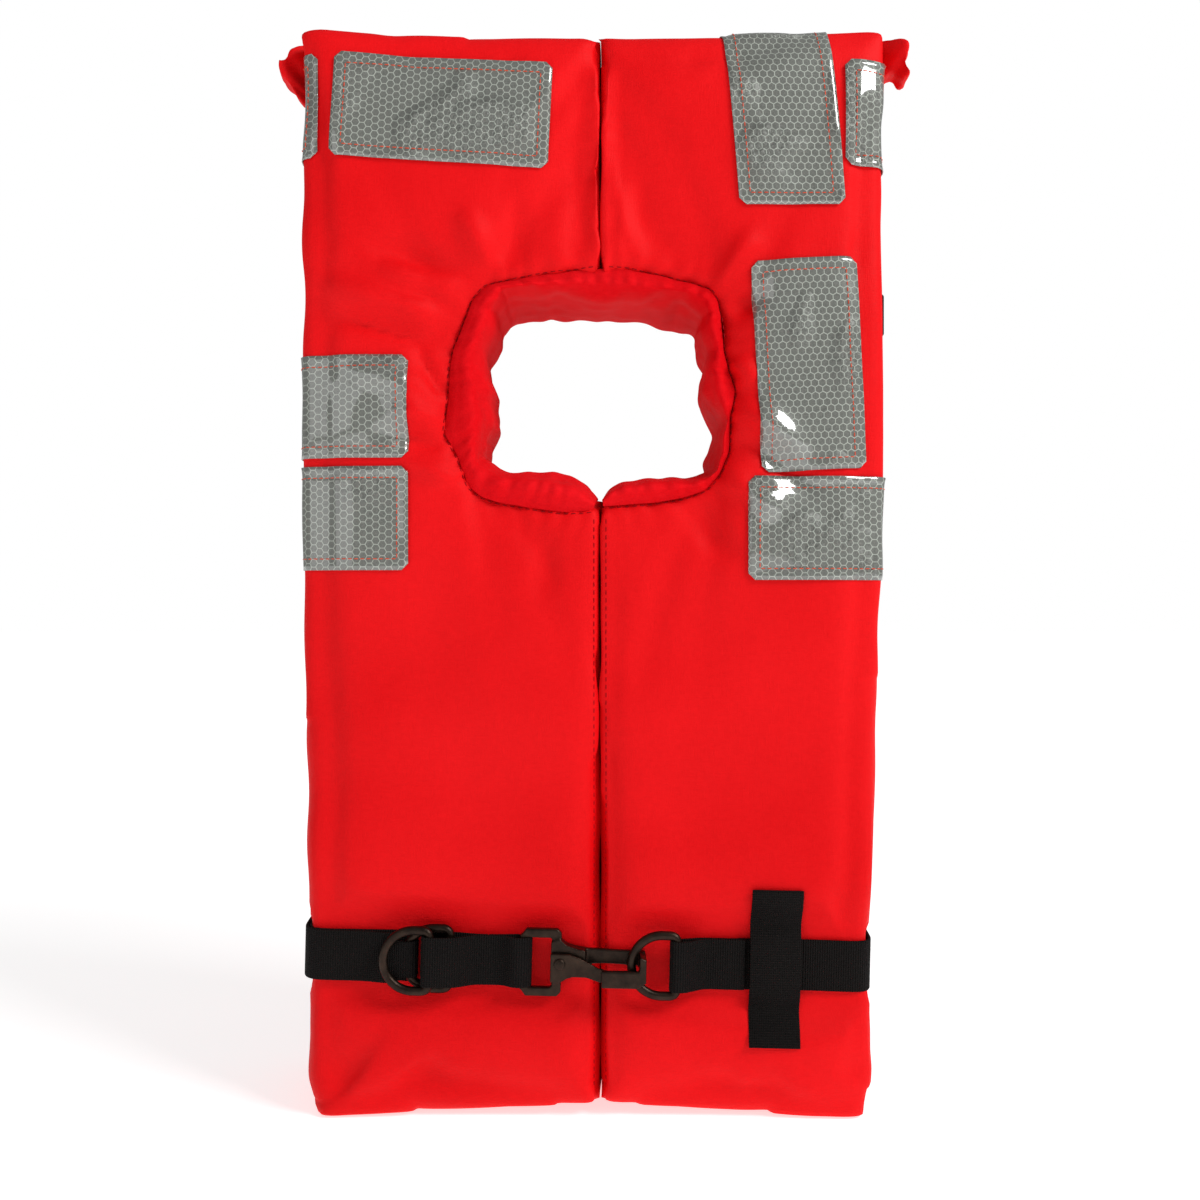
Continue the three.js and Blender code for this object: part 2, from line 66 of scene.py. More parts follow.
# Outlines of the two halves of the cover, in x and z.
LEFT_HALF = [
    (-131, -2), (3, 7.5), (3, 293), (-10, 303), (-52, 305), (-64, 344), (-64, 352), (-61, 385),
    (-48.5, 402), (4.2, 409), (4.2, 522), (-139, 526), (-140, 300), (-138, 120), (-137.5, 17),
]
RIGHT_HALF = [
    (5, 7.5), (129, -2), (134.5, 17), (135.5, 90), (138.5, 200), (141.5, 330), (140, 526), (3.8, 522),
    (3.8, 409), (53.5, 403), (66, 387), (66, 352), (66, 344), (63, 317), (51, 305), (18, 302),
    (5, 293),
]
# The lining of the neck opening, clockwise from the slit: where its seam is on the front cloth,
# the narrowest part of it behind, and how far its front lip stands out there.
NECK = [
    (0.6, 293.7, 2.6, 300, 0), (-6, 293, -3, 308, 2.5), (-14.4, 292.8, -11, 311.8, 4.5),
    (-29, 294.8, -22, 313.4, 4.5), (-43.8, 297.1, -36, 314, 3.8), (-53, 300, -48, 315.6, 2.6),
    (-59.5, 305, -55, 321.5, 1.6), (-64.6, 319.8, -52.2, 331, 3.4), (-70.9, 330.4, -48.6, 339.4, 4.4),
    (-69.5, 343, -50.6, 347.6, 2.4), (-68.9, 351.2, -49.4, 355, 4.2), (-68.5, 363, -53.6, 364, 2),
    (-66.5, 372, -52.6, 373, 4), (-63.1, 380.2, -47.2, 383.5, 3.6), (-60, 389, -46.4, 392, 1.2),
    (-57.4, 395.7, -42.5, 395.6, 3), (-51.1, 402.4, -39, 399.6, 0.8), (-38, 405, -30, 400.6, 2.6),
    (-22.1, 407.7, -18, 400.2, 2.2), (-8, 409.2, -6, 399.2, 2.6), (3.5, 410.1, 3.5, 397.7, 1.2),
    (17, 410, 16, 398.2, 2.6), (35, 406.5, 32, 396.5, 2.2), (50, 402.8, 45, 395.8, 2),
    (57.2, 400.4, 51, 393.2, 0.6), (61, 394.7, 54.5, 388.5, 2.4), (62.5, 383, 53.2, 382.5, 3.2),
    (63.9, 370, 58.6, 371.5, 1), (66.5, 359, 55.2, 361, 4.2), (69.2, 351.2, 55.4, 352.5, 4.4),
    (68, 345, 60.4, 344.5, 3), (66.8, 339.6, 65, 336.5, 0.4), (66.5, 330, 61.8, 329.5, 3),
    (66.2, 321.7, 60.6, 322, 3.4), (62, 311.1, 59.6, 314.6, 1), (55, 303.5, 50.5, 310.2, 2),
    (44, 299.6, 42, 309.8, 4.2), (29, 297.2, 28, 310.4, 4.6), (15, 296.2, 14.6, 309.6, 4.4),
    (9, 295.8, 8.6, 306, 2.5), (5.4, 295.7, 5.4, 300, 0),
]
NECK_SEAM = [row[:2] for row in NECK]


# ---------- small helpers ----------
def new_object(name, verts, faces):
    mesh = bpy.data.meshes.new(name)
    mesh.from_pydata([tuple(np.array(v) * MM) for v in verts], [], [tuple(f) for f in faces])
    mesh.validate()
    mesh.polygons.foreach_set("use_smooth", [True] * len(mesh.polygons))
    obj = bpy.data.objects.new(name, mesh)
    bpy.context.scene.collection.objects.link(obj)
    return obj


def rows_of(items, key):
    """A vector of each item, as the rows of an array."""
    out = np.empty(len(items) * 3)
    items.foreach_get(key, out)
    return out.reshape(-1, 3)


def coords(obj):
    return rows_of(obj.data.vertices, "co") / MM


def swollen_coords(obj):
    """Where an object's modifiers put its vertices."""
    shown = obj.evaluated_get(bpy.context.evaluated_depsgraph_get())
    co = rows_of(shown.to_mesh().vertices, "co") / MM
    shown.to_mesh_clear()
    return co


def set_coords(obj, co):
    obj.data.vertices.foreach_set("co", (co * MM).ravel())
    obj.data.update()


def normals(obj):
    return rows_of(obj.data.vertices, "normal")


def apply_modifiers(obj):
    graph = bpy.context.evaluated_depsgraph_get()
    mesh = bpy.data.meshes.new_from_object(obj.evaluated_get(graph))
    obj.modifiers.clear()
    obj.data = mesh
    mesh.polygons.foreach_set("use_smooth", [True] * len(mesh.polygons))


def modifier(obj, kind, **settings):
    m = obj.modifiers.new(kind.lower(), kind)
    for key, value in settings.items():
        setattr(m, key, value)
    return m


def waves(points, scale, seed, count=14):
    """Smooth noise of about unit height over points, with features about scale wide."""
    rng = np.random.default_rng(seed)
    total = np.zeros(len(points))
    for _ in range(count):
        d = rng.normal(size=points.shape[1])
        k = 2 * math.pi / (scale * rng.uniform(0.75, 1.6)) * d / np.linalg.norm(d)
        total += np.sin(points @ k + rng.uniform(0, 2 * math.pi))
    return total / math.sqrt(count)


def smooth_step(x, low, high):
    t = np.clip((x - low) / (high - low), 0, 1)
    return t * t * (3 - 2 * t)


def bell(x, width):
    return np.exp(-((x / width) ** 2))


def capped(moves, most):
    """Moves shortened smoothly to at most a length."""
    size = np.linalg.norm(moves, axis=1)
    return moves * (most * np.tanh(size / most) / np.maximum(size, TINY))[:, None]


def nearest(points, line):
    """For 2-D points: how far the polyline is, and how far along it and where it is nearest."""
    line = np.array(line, float)
    best, at, spot = np.full(len(points), FAR), np.zeros(len(points)), points.copy()
    walked = 0.0
    for a, b in zip(line[:-1], line[1:]):
        t = np.clip((points - a) @ (b - a) / max((b - a) @ (b - a), TINY), 0, 1)
        foot = a + t[:, None] * (b - a)
        dist = np.linalg.norm(points - foot, axis=1)
        nearer = dist < best
        best[nearer], spot[nearer] = dist[nearer], foot[nearer]
        at[nearer] = walked + t[nearer] * math.dist(a, b)
        walked += math.dist(a, b)
    return best, at, spot


def inside(points, outline):
    """Which 2-D points are inside a closed outline."""
    x, y = points[:, 0], points[:, 1]
    found = np.zeros(len(points), bool)
    for (x0, y0), (x1, y1) in zip(outline, outline[1:] + outline[:1]):
        if y0 != y1:
            found ^= ((y0 > y) != (y1 > y)) & (x < (x1 - x0) * (y - y0) / (y1 - y0) + x0)
    return found


def lengths(line):
    """The length along a line to each of its points."""
    return np.r_[0, np.cumsum(np.linalg.norm(np.diff(line, axis=0), axis=1))]


def whole_length(path):
    return sum(math.dist(a, b) for a, b in zip(path[:-1], path[1:]))


def point_at(line, steps, t):
    """The point at length t of a line, where steps are the lengths to its points."""
    return np.stack([np.interp(t, steps, line[:, k]) for k in range(line.shape[1])], -1)


def resample(line, count, rounds=0):
    """count points evenly along a polyline, smoothed a little."""
    line = np.array(line, float)
    steps = lengths(line)
    out = point_at(line, steps, np.linspace(0, steps[-1], count))
    for _ in range(rounds):
        out[1:-1] = 0.25 * out[:-2] + 0.5 * out[1:-1] + 0.25 * out[2:]
    return out


def corner(a, tip, b, count):
    """Points of a rounded corner from a to b."""
    a, tip, b = (np.array(v, float) for v in (a, tip, b))
    return [(1 - t) ** 2 * a + 2 * t * (1 - t) * tip + t * t * b for t in np.linspace(0, 1, count)]


def circle(sides):
    """Cosine and sine of even steps round a circle."""
    return [(math.cos(w), math.sin(w)) for w in np.arange(sides) * 2 * math.pi / sides]


def prism(outline, y0, y1):
    """Vertices and faces of an outline in x and z made solid from y0 to y1."""
    n = len(outline)
    verts = [(x, y, z) for y in (y0, y1) for x, z in outline]
    faces = [range(n), range(2 * n - 1, n - 1, -1)]
    faces += [(i, i + n, (i + 1) % n + n, (i + 1) % n) for i in range(n)]
    return verts, faces


def tube_faces(rows, sides, base=0, ring=False):
    """Faces between rows of points round a tube, which may close into a ring."""
    faces, count = [], rows * sides
    for r in range(rows if ring else rows - 1):
        for q in range(sides):
            a, b = r * sides + q, r * sides + (q + 1) % sides
            c, d = (a + sides) % count, (b + sides) % count
            faces.append((base + a, base + b, base + d, base + c))
    return faces


def face_outwards(obj, split=False, weld=False):
    """Turns every face out, after splitting into triangles or welding points where asked."""
    bm = bmesh.new()
    bm.from_mesh(obj.data)
    if split:
        bmesh.ops.triangulate(bm, faces=bm.faces)
    if weld:
        bmesh.ops.remove_doubles(bm, verts=bm.verts, dist=1e-6)
    bmesh.ops.recalc_face_normals(bm, faces=bm.faces)
    bm.to_mesh(obj.data)
    bm.free()


# ---------- materials ----------
class Shader:
    """A principled material whose nodes are added by short calls."""

    def __init__(self, name, **sockets):
        self.material = bpy.data.materials.new(name)
        self.material.use_nodes = True
        self.nodes = self.material.node_tree.nodes
        self.links = self.material.node_tree.links
        self.out = self.nodes["Principled BSDF"]
        for key, value in sockets.items():
            self.out.inputs[key.replace("_", " ")].default_value = value

    def node(self, kind, inputs=None, **settings):
        n = self.nodes.new("ShaderNode" + kind)
        for key, value in settings.items():
            setattr(n, key, value)
        for key, value in (inputs or {}).items():
            if isinstance(value, bpy.types.NodeSocket):
                self.links.new(value, n.inputs[key])
            else:
                n.inputs[key].default_value = value
        return n

    def math(self, operation, a, b=0.0, c=0.0):
        return self.node("Math", {0: a, 1: b, 2: c}, operation=operation).outputs[0]

    def sum(self, *parts):
        """The sum of sockets, each times its share."""
        total = 0.0
        for socket, share in parts:
            total = self.math("MULTIPLY_ADD", socket, share, total)
        return total

    def vector(self, operation, a, b=(0, 0, 0)):
        n = self.node("VectorMath", {0: a, 1: b}, operation=operation)
        return n.outputs["Value" if operation == "DOT_PRODUCT" else "Vector"]

    def place(self, scale=1.0):
        """Object coordinates in millimetres over scale."""
        coord = self.node("TexCoord").outputs["Object"]
        k = 1000.0 / scale
        return self.vector("MULTIPLY", coord, (k, k, k))

    def noise(self, vector, scale=1.0, detail=2.0, rough=0.5):
        inputs = {"Vector": vector, "Scale": scale, "Detail": detail, "Roughness": rough}
        return self.node("TexNoise", inputs).outputs["Fac"]

    def ramp(self, fac, stops):
        n = self.node("ValToRGB", {"Fac": fac})
        elements = n.color_ramp.elements
        while len(elements) < len(stops):
            elements.new(0.5)
        for element, (place, color) in zip(elements, stops):
            element.position = place
            element.color = (*color, 1)
        return n.outputs["Color"]

    def mix(self, fac, a, b):
        return self.node("Mix", {0: fac, 6: a, 7: b}, data_type="RGBA").outputs[2]

    def span(self, value, low, high, start=0.0, end=1.0):
        """low to high, as the value goes from start to end."""
        inputs = {"Value": value, "From Min": start, "From Max": end, "To Min": low, "To Max": high}
        return self.node("MapRange", inputs).outputs["Result"]

    def bump(self, *layers):
        """Layers are (height in millimetres, socket), from broad to fine."""
        normal = None
        for height, socket in layers:
            inputs = {"Height": socket, "Distance": height * MM, "Strength": 1.0}
            if normal:
                inputs["Normal"] = normal
            normal = self.node("Bump", inputs).outputs["Normal"]
        self.links.new(normal, self.out.inputs["Normal"])

    def set(self, key, socket):
        self.links.new(socket, self.out.inputs[key])


def thread_height(s, place):
    """Fine threads both ways, as noise drawn out along them."""
    warp = s.noise(s.vector("MULTIPLY", place, (2.2, 2.2, 0.22)), 1.0, 1.0)
    weft = s.noise(s.vector("MULTIPLY", place, (0.22, 0.22, 2.2)), 1.0, 1.0)
    return s.math("ADD", warp, weft)


def cover_material(name, dark, light, gloss):
    s = Shader(name, Specular_IOR_Level=gloss)
    place = s.place()
    broad = s.noise(place, 0.011, 2.0)
    fine = s.noise(place, 0.35, 3.0, 0.6)
    threads = thread_height(s, place)
    tone = s.sum((broad, 0.6), (fine, 0.2), (threads, 0.1))
    s.set("Base Color", s.ramp(tone, [(0.33, dark), (0.66, light)]))
    crease = s.noise(s.vector("MULTIPLY", place, (1.0, 1.0, 0.6)), 0.03, 3.0, 0.5)
    s.set("Roughness", s.span(fine, 0.50, 0.64))
    s.bump((1.3, crease), (0.05, fine), (0.13, threads))
    return s.material


ROOT3 = math.sqrt(3)
CELL = 3.6  # width of a cell of the film


def tape_material():
    """Retroreflective film: six-sided grey cells under a clear glossy coat."""
    coat = {"Coat_Weight": 1.0, "Coat_Roughness": 0.05, "Coat_IOR": 1.85}
    s = Shader("reflective_film", Metallic=0.15, Specular_IOR_Level=0.3, **coat)
    uv = s.node("UVMap", uv_map="film").outputs[0]
    size, half = (ROOT3, 1.0, 1.0), (ROOT3 / 2, 0.5, 0.0)
    p = s.vector("MULTIPLY", uv, (1 / (CELL * MM), 1 / (CELL * MM), 0))
    p = s.vector("ADD", p, (60 * ROOT3, 60, 0))  # the remainders below need positive places
    a = s.vector("SUBTRACT", s.vector("MODULO", p, size), half)
    b = s.vector("SUBTRACT", s.vector("MODULO", s.vector("SUBTRACT", p, half), size), half)
    nearer = s.math("LESS_THAN", s.vector("DOT_PRODUCT", a, a), s.vector("DOT_PRODUCT", b, b))
    pick = s.node("Mix", {0: nearer, 4: b, 5: a}, data_type="VECTOR").outputs[1]
    g = s.vector("ABSOLUTE", pick)
    slant = s.vector("DOT_PRODUCT", g, (ROOT3 / 2, 0.5, 0))
    edge = s.math("MAXIMUM", slant, s.node("SeparateXYZ", {0: g}).outputs[1])
    wall = s.span(edge, 0, 1, 0.425, 0.465)
    speck = s.noise(s.place(), 1.6, 2.0, 0.7)
    blotch = s.noise(s.place(), 0.05, 2.0)
    cell_color = s.ramp(speck, [(0.3, (0.085, 0.090, 0.078)), (0.7, (0.165, 0.172, 0.150))])
    toned = s.mix(s.math("MULTIPLY", blotch, 0.35), cell_color, (0.19, 0.195, 0.18, 1))
    s.set("Base Color", s.mix(wall, toned, (0.37, 0.40, 0.35, 1)))
    s.set("Roughness", s.span(wall, 0.42, 0.55))
    ripple = s.noise(s.place(), 0.05, 2.0, 0.5)
    sharp = s.noise(s.place(), 0.16, 3.0, 0.6)
    crumpled = s.span(s.noise(s.place(), 0.028, 1.0), 0, 1, 0.53, 0.62)
    glint = s.math("MULTIPLY", sharp, crumpled)
    s.bump((0.7, ripple), (4.6, glint), (0.06, wall))
    return s.material


def webbing_material():
    """Black webbing with fine ribs across it."""
    s = Shader("black_webbing", Specular_IOR_Level=0.10)
    uv = s.node("UVMap", uv_map="strap").outputs[0]
    split = s.node("SeparateXYZ", {0: s.vector("MULTIPLY", uv, (1000, 1000, 0))})
    rib = s.math("SINE", s.math("MULTIPLY", split.outputs[0], 2 * math.pi / 1.15))
    grain = s.math("SINE", s.math("MULTIPLY", split.outputs[1], 2 * math.pi / 0.9))
    fuzz = s.noise(s.place(), 0.9, 3.0, 0.7)
    tone = s.sum((rib, 0.14), (fuzz, 1.0))
    s.set("Base Color", s.ramp(tone, [(0.2, (0.004, 0.003, 0.003)), (0.8, (0.012, 0.010, 0.009))]))
    s.set("Roughness", s.span(fuzz, 0.68, 0.9))
    s.bump((0.35, rib), (0.12, grain), (0.12, fuzz))
    return s.material


def metal_material():
    """Dark bronze-brown coated metal, a little worn."""
    s = Shader("bronzed_metal", Metallic=0.85)
    place = s.place()
    cloud = s.noise(place, 0.12, 4.0, 0.6)
    speck = s.noise(place, 1.5, 2.0, 0.7)
    s.set("Base Color", s.ramp(cloud, [(0.3, (0.012, 0.0075, 0.0055)), (0.72, (0.040, 0.025, 0.017))]))
    s.set("Roughness", s.span(speck, 0.26, 0.46))
    s.bump((0.08, speck), (0.05, cloud))
    return s.material


def thread_material(name, dark, light):
    s = Shader(name, Roughness=0.6, Specular_IOR_Level=0.08)
    twist = s.noise(s.place(), 2.5, 1.0)
    s.set("Base Color", s.ramp(twist, [(0.3, dark), (0.7, light)]))
    s.bump((0.08, twist))
    return s.material


COVER = cover_material("orange_red_cloth", (0.66, 0.0012, 0.0030), (0.79, 0.0045, 0.0070), 0.09)
LINING = cover_material("lining_cloth", (0.58, 0.0016, 0.0045), (0.78, 0.0090, 0.0140), 0.01)
TAPE = tape_material()
WEBBING = webbing_material()
METAL = metal_material()
TAPE_THREAD = thread_material("orange_thread", (0.50, 0.055, 0.025), (0.75, 0.12, 0.06))
# The seam thread's dark red is the cloth's red plus painted shade of the needle dimples it runs in.
SEAM_THREAD_PAINTED_DIMPLE_SHADE = thread_material("red_thread_painted_dimple_shade", (0.20, 0.002, 0.004), (0.36, 0.004, 0.008))


def dress(obj, material):
    obj.data.materials.clear()
    obj.data.materials.append(material)
    return obj


def settle(obj, body, *nodes):
    """Makes a piece follow a body and stand for its CAD nodes."""
    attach(obj, body)
    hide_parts(*nodes)


# ---------- the padded cover ----------
BELT_Z, BELT_TILT = 76.6, 0.024
BELT_LEFT, BELT_RIGHT = -137.6, 135.6  # where it turns round the sides


def belt_height(x):
    return BELT_Z - BELT_TILT * x


def slab(name, outline, y0, y1, voxel):
    """An outline in x and z made solid from y0 to y1, as an even mesh."""
    obj = new_object(name, *prism(outline, y0, y1))
    face_outwards(obj, split=True)
    modifier(obj, "REMESH", mode="VOXEL", voxel_size=voxel * MM, use_smooth_shade=True)
    apply_modifiers(obj)
    return obj


SWELL_FRAMES = 20
CLOTH = {
    "quality": 4, "mass": 0.25, "tension_stiffness": 25, "compression_stiffness": 12,
    "bending_stiffness": 0.6, "use_pressure": True, "uniform_pressure_force": 4.0,
    "vertex_group_mass": "pin",
}


def inflate(objs, pins):
    """Blows the closed meshes up as cloth and returns how far each vertex moved."""
    for obj, pinned in zip(objs, pins):
        group = obj.vertex_groups.new(name="pin")
        for weight in (0.5, 1.0):
            chosen = np.flatnonzero(np.abs(pinned - weight) < 0.25)
            group.add([int(i) for i in chosen], weight, "REPLACE")
        cloth = modifier(obj, "CLOTH")
        for key, value in CLOTH.items():
            setattr(cloth.settings, key, value)
        cloth.settings.effector_weights.gravity = 0
        cloth.collision_settings.use_collision = False
        cloth.point_cache.frame_end = SWELL_FRAMES
    for f in range(1, SWELL_FRAMES + 1):
        bpy.context.scene.frame_set(f)
    moved = [swollen_coords(obj) - coords(obj) for obj in objs]
    for obj in objs:
        obj.modifiers.clear()
        obj.vertex_groups.clear()
    bpy.context.scene.frame_set(1)
    return moved


THINNER, WIDER = 1.0, 1.2  # how the pads differ from the frame before they swell
PAD_MESH = 5.0
MOST_SWELL = 5.0
FOAM_HOLDS = 0.85  # the share of a move inwards that the foam prevents


def inset(outline, d):
    """The outline with every edge moved inwards by d."""
    pts = np.array(outline, float)
    before, after = np.roll(pts, 1, 0), np.roll(pts, -1, 0)
    turn = math.copysign(1, np.sum(pts[:, 0] * after[:, 1] - after[:, 0] * pts[:, 1]))
    edges = [v / np.linalg.norm(v, axis=1)[:, None] for v in (pts - before, after - pts)]
    a, b = (turn * np.stack([-v[:, 1], v[:, 0]], 1) for v in edges)
    return pts + (a + b) * (d / (1 + np.sum(a * b, 1)))[:, None]


# Soft folds in the front cloth: from, to, half width and height, in x and z.
FOLDS = [
    ((-132, 404), (-66, 386), 5, 1.6),
    ((-128, 388), (-74, 372), 4, -1.5),
    ((-104, 412), (-60, 398), 4.5, 1.4),
    ((-112, 424), (-58, 404), 6, -1.2),
    ((-118, 360), (-74, 352), 5, 1.3),
    ((-84, 372), (-70, 346), 3, -1.4),
    ((-96, 346), (-72, 336), 4, 1.5),
    ((-100, 330), (-70, 324), 4, -1.2),
    ((-92, 318), (-62, 306), 4, 1.1),
    ((-48, 410), (-62, 440), 4, 1.3),
    ((-40, 408), (-36, 448), 5, -0.9),
    ((60, 400), (78, 428), 4, 1.3),
    ((66, 390), (84, 398), 3.5, -1.2),
    ((68, 366), (80, 356), 3.5, 1.3),
    ((70, 344), (104, 322), 4.5, 1.5),
    ((68, 332), (112, 300), 4.5, -1.4),
    ((62, 312), (92, 292), 4.5, 1.2),
    ((46, 300), (70, 268), 5, -0.9),
    ((-8, 412), (-4, 470), 5, -0.8),
    ((16, 412), (14, 466), 5, 0.8),
    ((-20, 286), (-24, 250), 6, -0.7),
    ((110, 96), (128, 60), 6, 1),
    ((-60, 100), (-66, 64), 5, -0.9),
    ((-96, 96), (-110, 112), 4, 0.9),
]


def drawn_out(gap, deep, least, amount):
    """How far cloth beside the slit goes out, from its gap to the slit and depth under the face."""
    share = amount * (1 - smooth_step(gap, 1.0, 11))
    share = np.where(gap < 1.0, share * (1 - smooth_step(deep, 5.5, 9)), share)
    return np.where((deep > least) & (deep < 9) & (gap < 11), deep * share, 0)


def close_slit(co, side):
    """Brings the halves together along the slit and squares their meeting edges."""
    near = np.abs(co[:, 0] - SLIT) < 16
    band = 6.0  # the wall's place is found in bands of this height
    bins = np.round(co[:, 2] / band).astype(int)
    shift = np.full(bins.max() + 2, np.nan)
    for b in np.unique(bins[near]):
        xs = co[near & (bins == b), 0]
        shift[b] = SLIT + 0.22 * side - (xs.max() if side < 0 else xs.min())
    good = np.flatnonzero(~np.isnan(shift))
    shift = np.interp(co[:, 2] / band, good, shift[good])
    gap = np.abs(co[:, 0] + shift - SLIT)
    co[:, 0] += np.where(near, shift * (1 - smooth_step(gap, 4, 18)), 0)
    # The pressed walls follow each other, bowed a little so that no light gets through.
    depth = np.abs(co[:, 1] - MIDDLE_Y)
    beyond_neck = (co[:, 2] < 300) | (co[:, 2] > 396)
    wall = (np.abs(co[:, 0] - SLIT) < 5) & (depth < 33) & beyond_neck
    part = (0.18 - 0.10 * smooth_step(co[:, 2], 396, 420)) * side
    co[:, 0] = np.where(wall, SLIT + part + 1.1 * np.cos(math.pi * depth / 70), co[:, 0])
    gap = np.abs(co[:, 0] - SLIT)
    amount = 0.45 + 0.5 * smooth_step(co[:, 2], 392, 412)
    amount *= smooth_step(co[:, 2], 6, 24) * (1 - smooth_step(co[:, 2], 500, 517))
    for sign, face in ((-1, FRONT), (1, REAR)):
        deep = (face - co[:, 1]) * sign + 2.0
        co[:, 1] += sign * drawn_out(gap, deep, 0.3, amount)
    # The same along the top, where the two halves of the collar are sewn into one edge.
    depth = np.abs(co[:, 1] - MIDDLE_Y)
    level = co[(gap > 9) & (gap < 16) & (depth < 20), 2].max() - 0.6
    amount = 0.94 * (1 - smooth_step(depth, 29, 38))
    co[:, 2] += drawn_out(gap, level - co[:, 2], 0.2, amount)


def relief(co, flat, front, rear):
    """How far folds, soft waves and seams raise the swollen cloth."""
    faces, rise = front + rear, np.zeros(len(co))
    for i, (a, b, width, height) in enumerate(FOLDS):
        dist, at, _ = nearest(flat, [a, b])
        ends = np.sin(np.pi * np.clip(at / math.dist(a, b), 0.02, 0.98)) ** 0.7
        bent = dist + 1.5 * waves(flat, 30, 100 + i, 4)
        rise += front * 3.4 * height * bell(bent, 1.15 * width) * ends
    rise += 1.15 * waves(co, 95, 5) * faces + 0.34 * waves(co, 34, 6)
    # Puckers beside the seam of the neck opening, and the groove of the seam itself.
    seam_dist, seam_at, _ = nearest(flat, NECK_SEAM)
    pucker = np.sin(seam_at * 2 * math.pi / 9.5 + 2 * waves(flat, 40, 8))
    rise += faces * (0.55 * pucker * bell(seam_dist, 11.0) - 1.3 * bell(seam_dist, 2.8))
    # The centre seam of the collar, and the rear of the same line.
    above = smooth_step(co[:, 2], 396, 412)
    tug = np.sin(co[:, 2] * 2 * math.pi / 12 + 2 * waves(co[:, 2:3], 50, 9))
    rise += faces * above * 0.35 * tug * bell(co[:, 0] - SLIT, 9.0)
    # The seam that runs round the side walls, at half depth.
    depth = co[:, 1] - MIDDLE_Y
    tug = np.sin(co[:, 2] * 2 * math.pi / 16 + 3 * waves(co, 60, 12))
    return rise + (1 - faces) * (0.5 * tug * bell(depth, 14.0) - bell(depth, 2.2))


def press_belt(co, front, rear):
    """The tight belt holds the cloth back, and the cloth bulges over its edges."""
    dz = np.abs(co[:, 2] - belt_height(co[:, 0]))
    room = 8.5 * smooth_step(dz, 12.0, 46) - 0.4
    held = np.clip(co[:, 1], FRONT - room, REAR + room)
    co[:, 1] = np.where(dz < 46, held, co[:, 1])
    wide = -2.0 + 5.0 * smooth_step(dz, 12.5, 30)
    narrow = np.clip(co[:, 0], BELT_LEFT - wide, BELT_RIGHT + wide)
    co[:, 0] = np.where(dz < 26, narrow, co[:, 0])
    over = smooth_step(dz, 14, 42) * bell(np.maximum(dz - 42, 0), 30)
    co[:, 1] -= 3.4 * over * (front - 0.5 * rear)


def make_room_for_lining(co, flat):
    """Keeps the cloth out of the neck opening, and lowers it where the lining lies over it."""
    rim = np.array(NECK)
    away = rim[:, :2] - rim[:, 2:4]
    rim = rim[:, 2:4] + 5.0 * away / np.linalg.norm(away, axis=1)[:, None]
    into = np.ix_(inside(co[:, [0, 2]], rim.tolist()), [0, 2])
    co[into] = nearest(co[into], rim)[2]
    under = smooth_step(nearest(flat, NECK_SEAM)[0], 0, 5) * inside(flat, NECK_SEAM)
    co[:, 1] += 6.0 * under * (1.0 * (co[:, 1] < FRONT + 14) - (co[:, 1] > REAR - 14))


def stand(co, gap=0.3, soft=2.1):
    """Presses the lowest cloth softly on the floor."""
    low = np.minimum(co[:, 2], gap + soft)
    co[:, 2] += gap + soft * np.exp((low - gap - soft) / soft) - low


def sculpt_cover(obj, side):
    """Presses seams, folds and the belt into the swollen cloth."""
    co = coords(obj)
    close_slit(co, side)
    set_coords(obj, co)
    n, flat = normals(obj), co[:, [0, 2]]
    front, rear = smooth_step(-n[:, 1], 0.2, 0.8), smooth_step(n[:, 1], 0.2, 0.8)
    co += n * relief(co, flat, front, rear)[:, None]
    press_belt(co, front, rear)
    make_room_for_lining(co, flat)
    stand(co)
    set_coords(obj, co)


def crisp(obj, co):
    """Takes out the finest bumps, and draws the soft edges out to where the foam's corners are."""
    copy = new_object("smoothed", co, [p.vertices for p in obj.data.polygons])
    versions = []
    for rounds in (1, 9):
        modifier(copy, "SMOOTH", factor=0.5, iterations=rounds)
        versions.append(swollen_coords(copy))
        copy.modifiers.clear()
    bpy.data.objects.remove(copy)
    fine, broad = versions
    return fine + capped(1.5 * (fine - broad), 3.6)


def make_covers():
    pads, pins = [], []
    for name, outline in (("cover_left", LEFT_HALF), ("cover_right", RIGHT_HALF)):
        pad = slab(name, inset(outline, -WIDER), FRONT + THINNER, REAR - THINNER, PAD_MESH)
        co = coords(pad)
        slit_wall = np.abs(co[:, 0] - SLIT) < 4.5
        mid = np.abs(co[:, 1] - MIDDLE_Y) < 3.0
        pins.append(np.where(mid, 1.0, np.where(slit_wall, 0.5, 0.0)))
        pads.append(pad)
    moved = inflate(pads, pins)
    for pad, move in zip(pads, moved):
        co, n = coords(pad), normals(pad)
        # Stiff foam inside keeps the edges out, so the cloth moves in far less than out.
        inwards = np.minimum(np.sum(move * n, 1), 0)
        step = capped(move - n * (FOAM_HOLDS * inwards)[:, None], MOST_SWELL)
        # On the slit's walls and the collar's centre seam the two halves press together.
        facing = np.abs(n[:, 0]) * (np.abs(co[:, 0] - SLIT) < 8)
        step[:, 0] = np.where(facing > 0.3, np.sign(step[:, 0]) * 1.2, step[:, 0])
        set_coords(pad, crisp(pad, co + step))
        modifier(pad, "SUBSURF", levels=1, render_levels=1)
        apply_modifiers(pad)
        sculpt_cover(pad, -1 if pad.name == "cover_left" else 1)
        dress(pad, COVER)
    return pads


cover_left, cover_right = make_covers()
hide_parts("chest_left_front_cover", "chest_left_rear_cover")
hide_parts("collar_left_front_cover", "chest_left_front_foam", "chest_left_rear_foam")
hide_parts("chest_right_front_cover", "chest_right_rear_cover")
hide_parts("collar_right_front_cover", "chest_right_front_foam")
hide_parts("chest_right_rear_foam", "collar_rear_cover")
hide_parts("collar_front_foam", "collar_rear_foam")


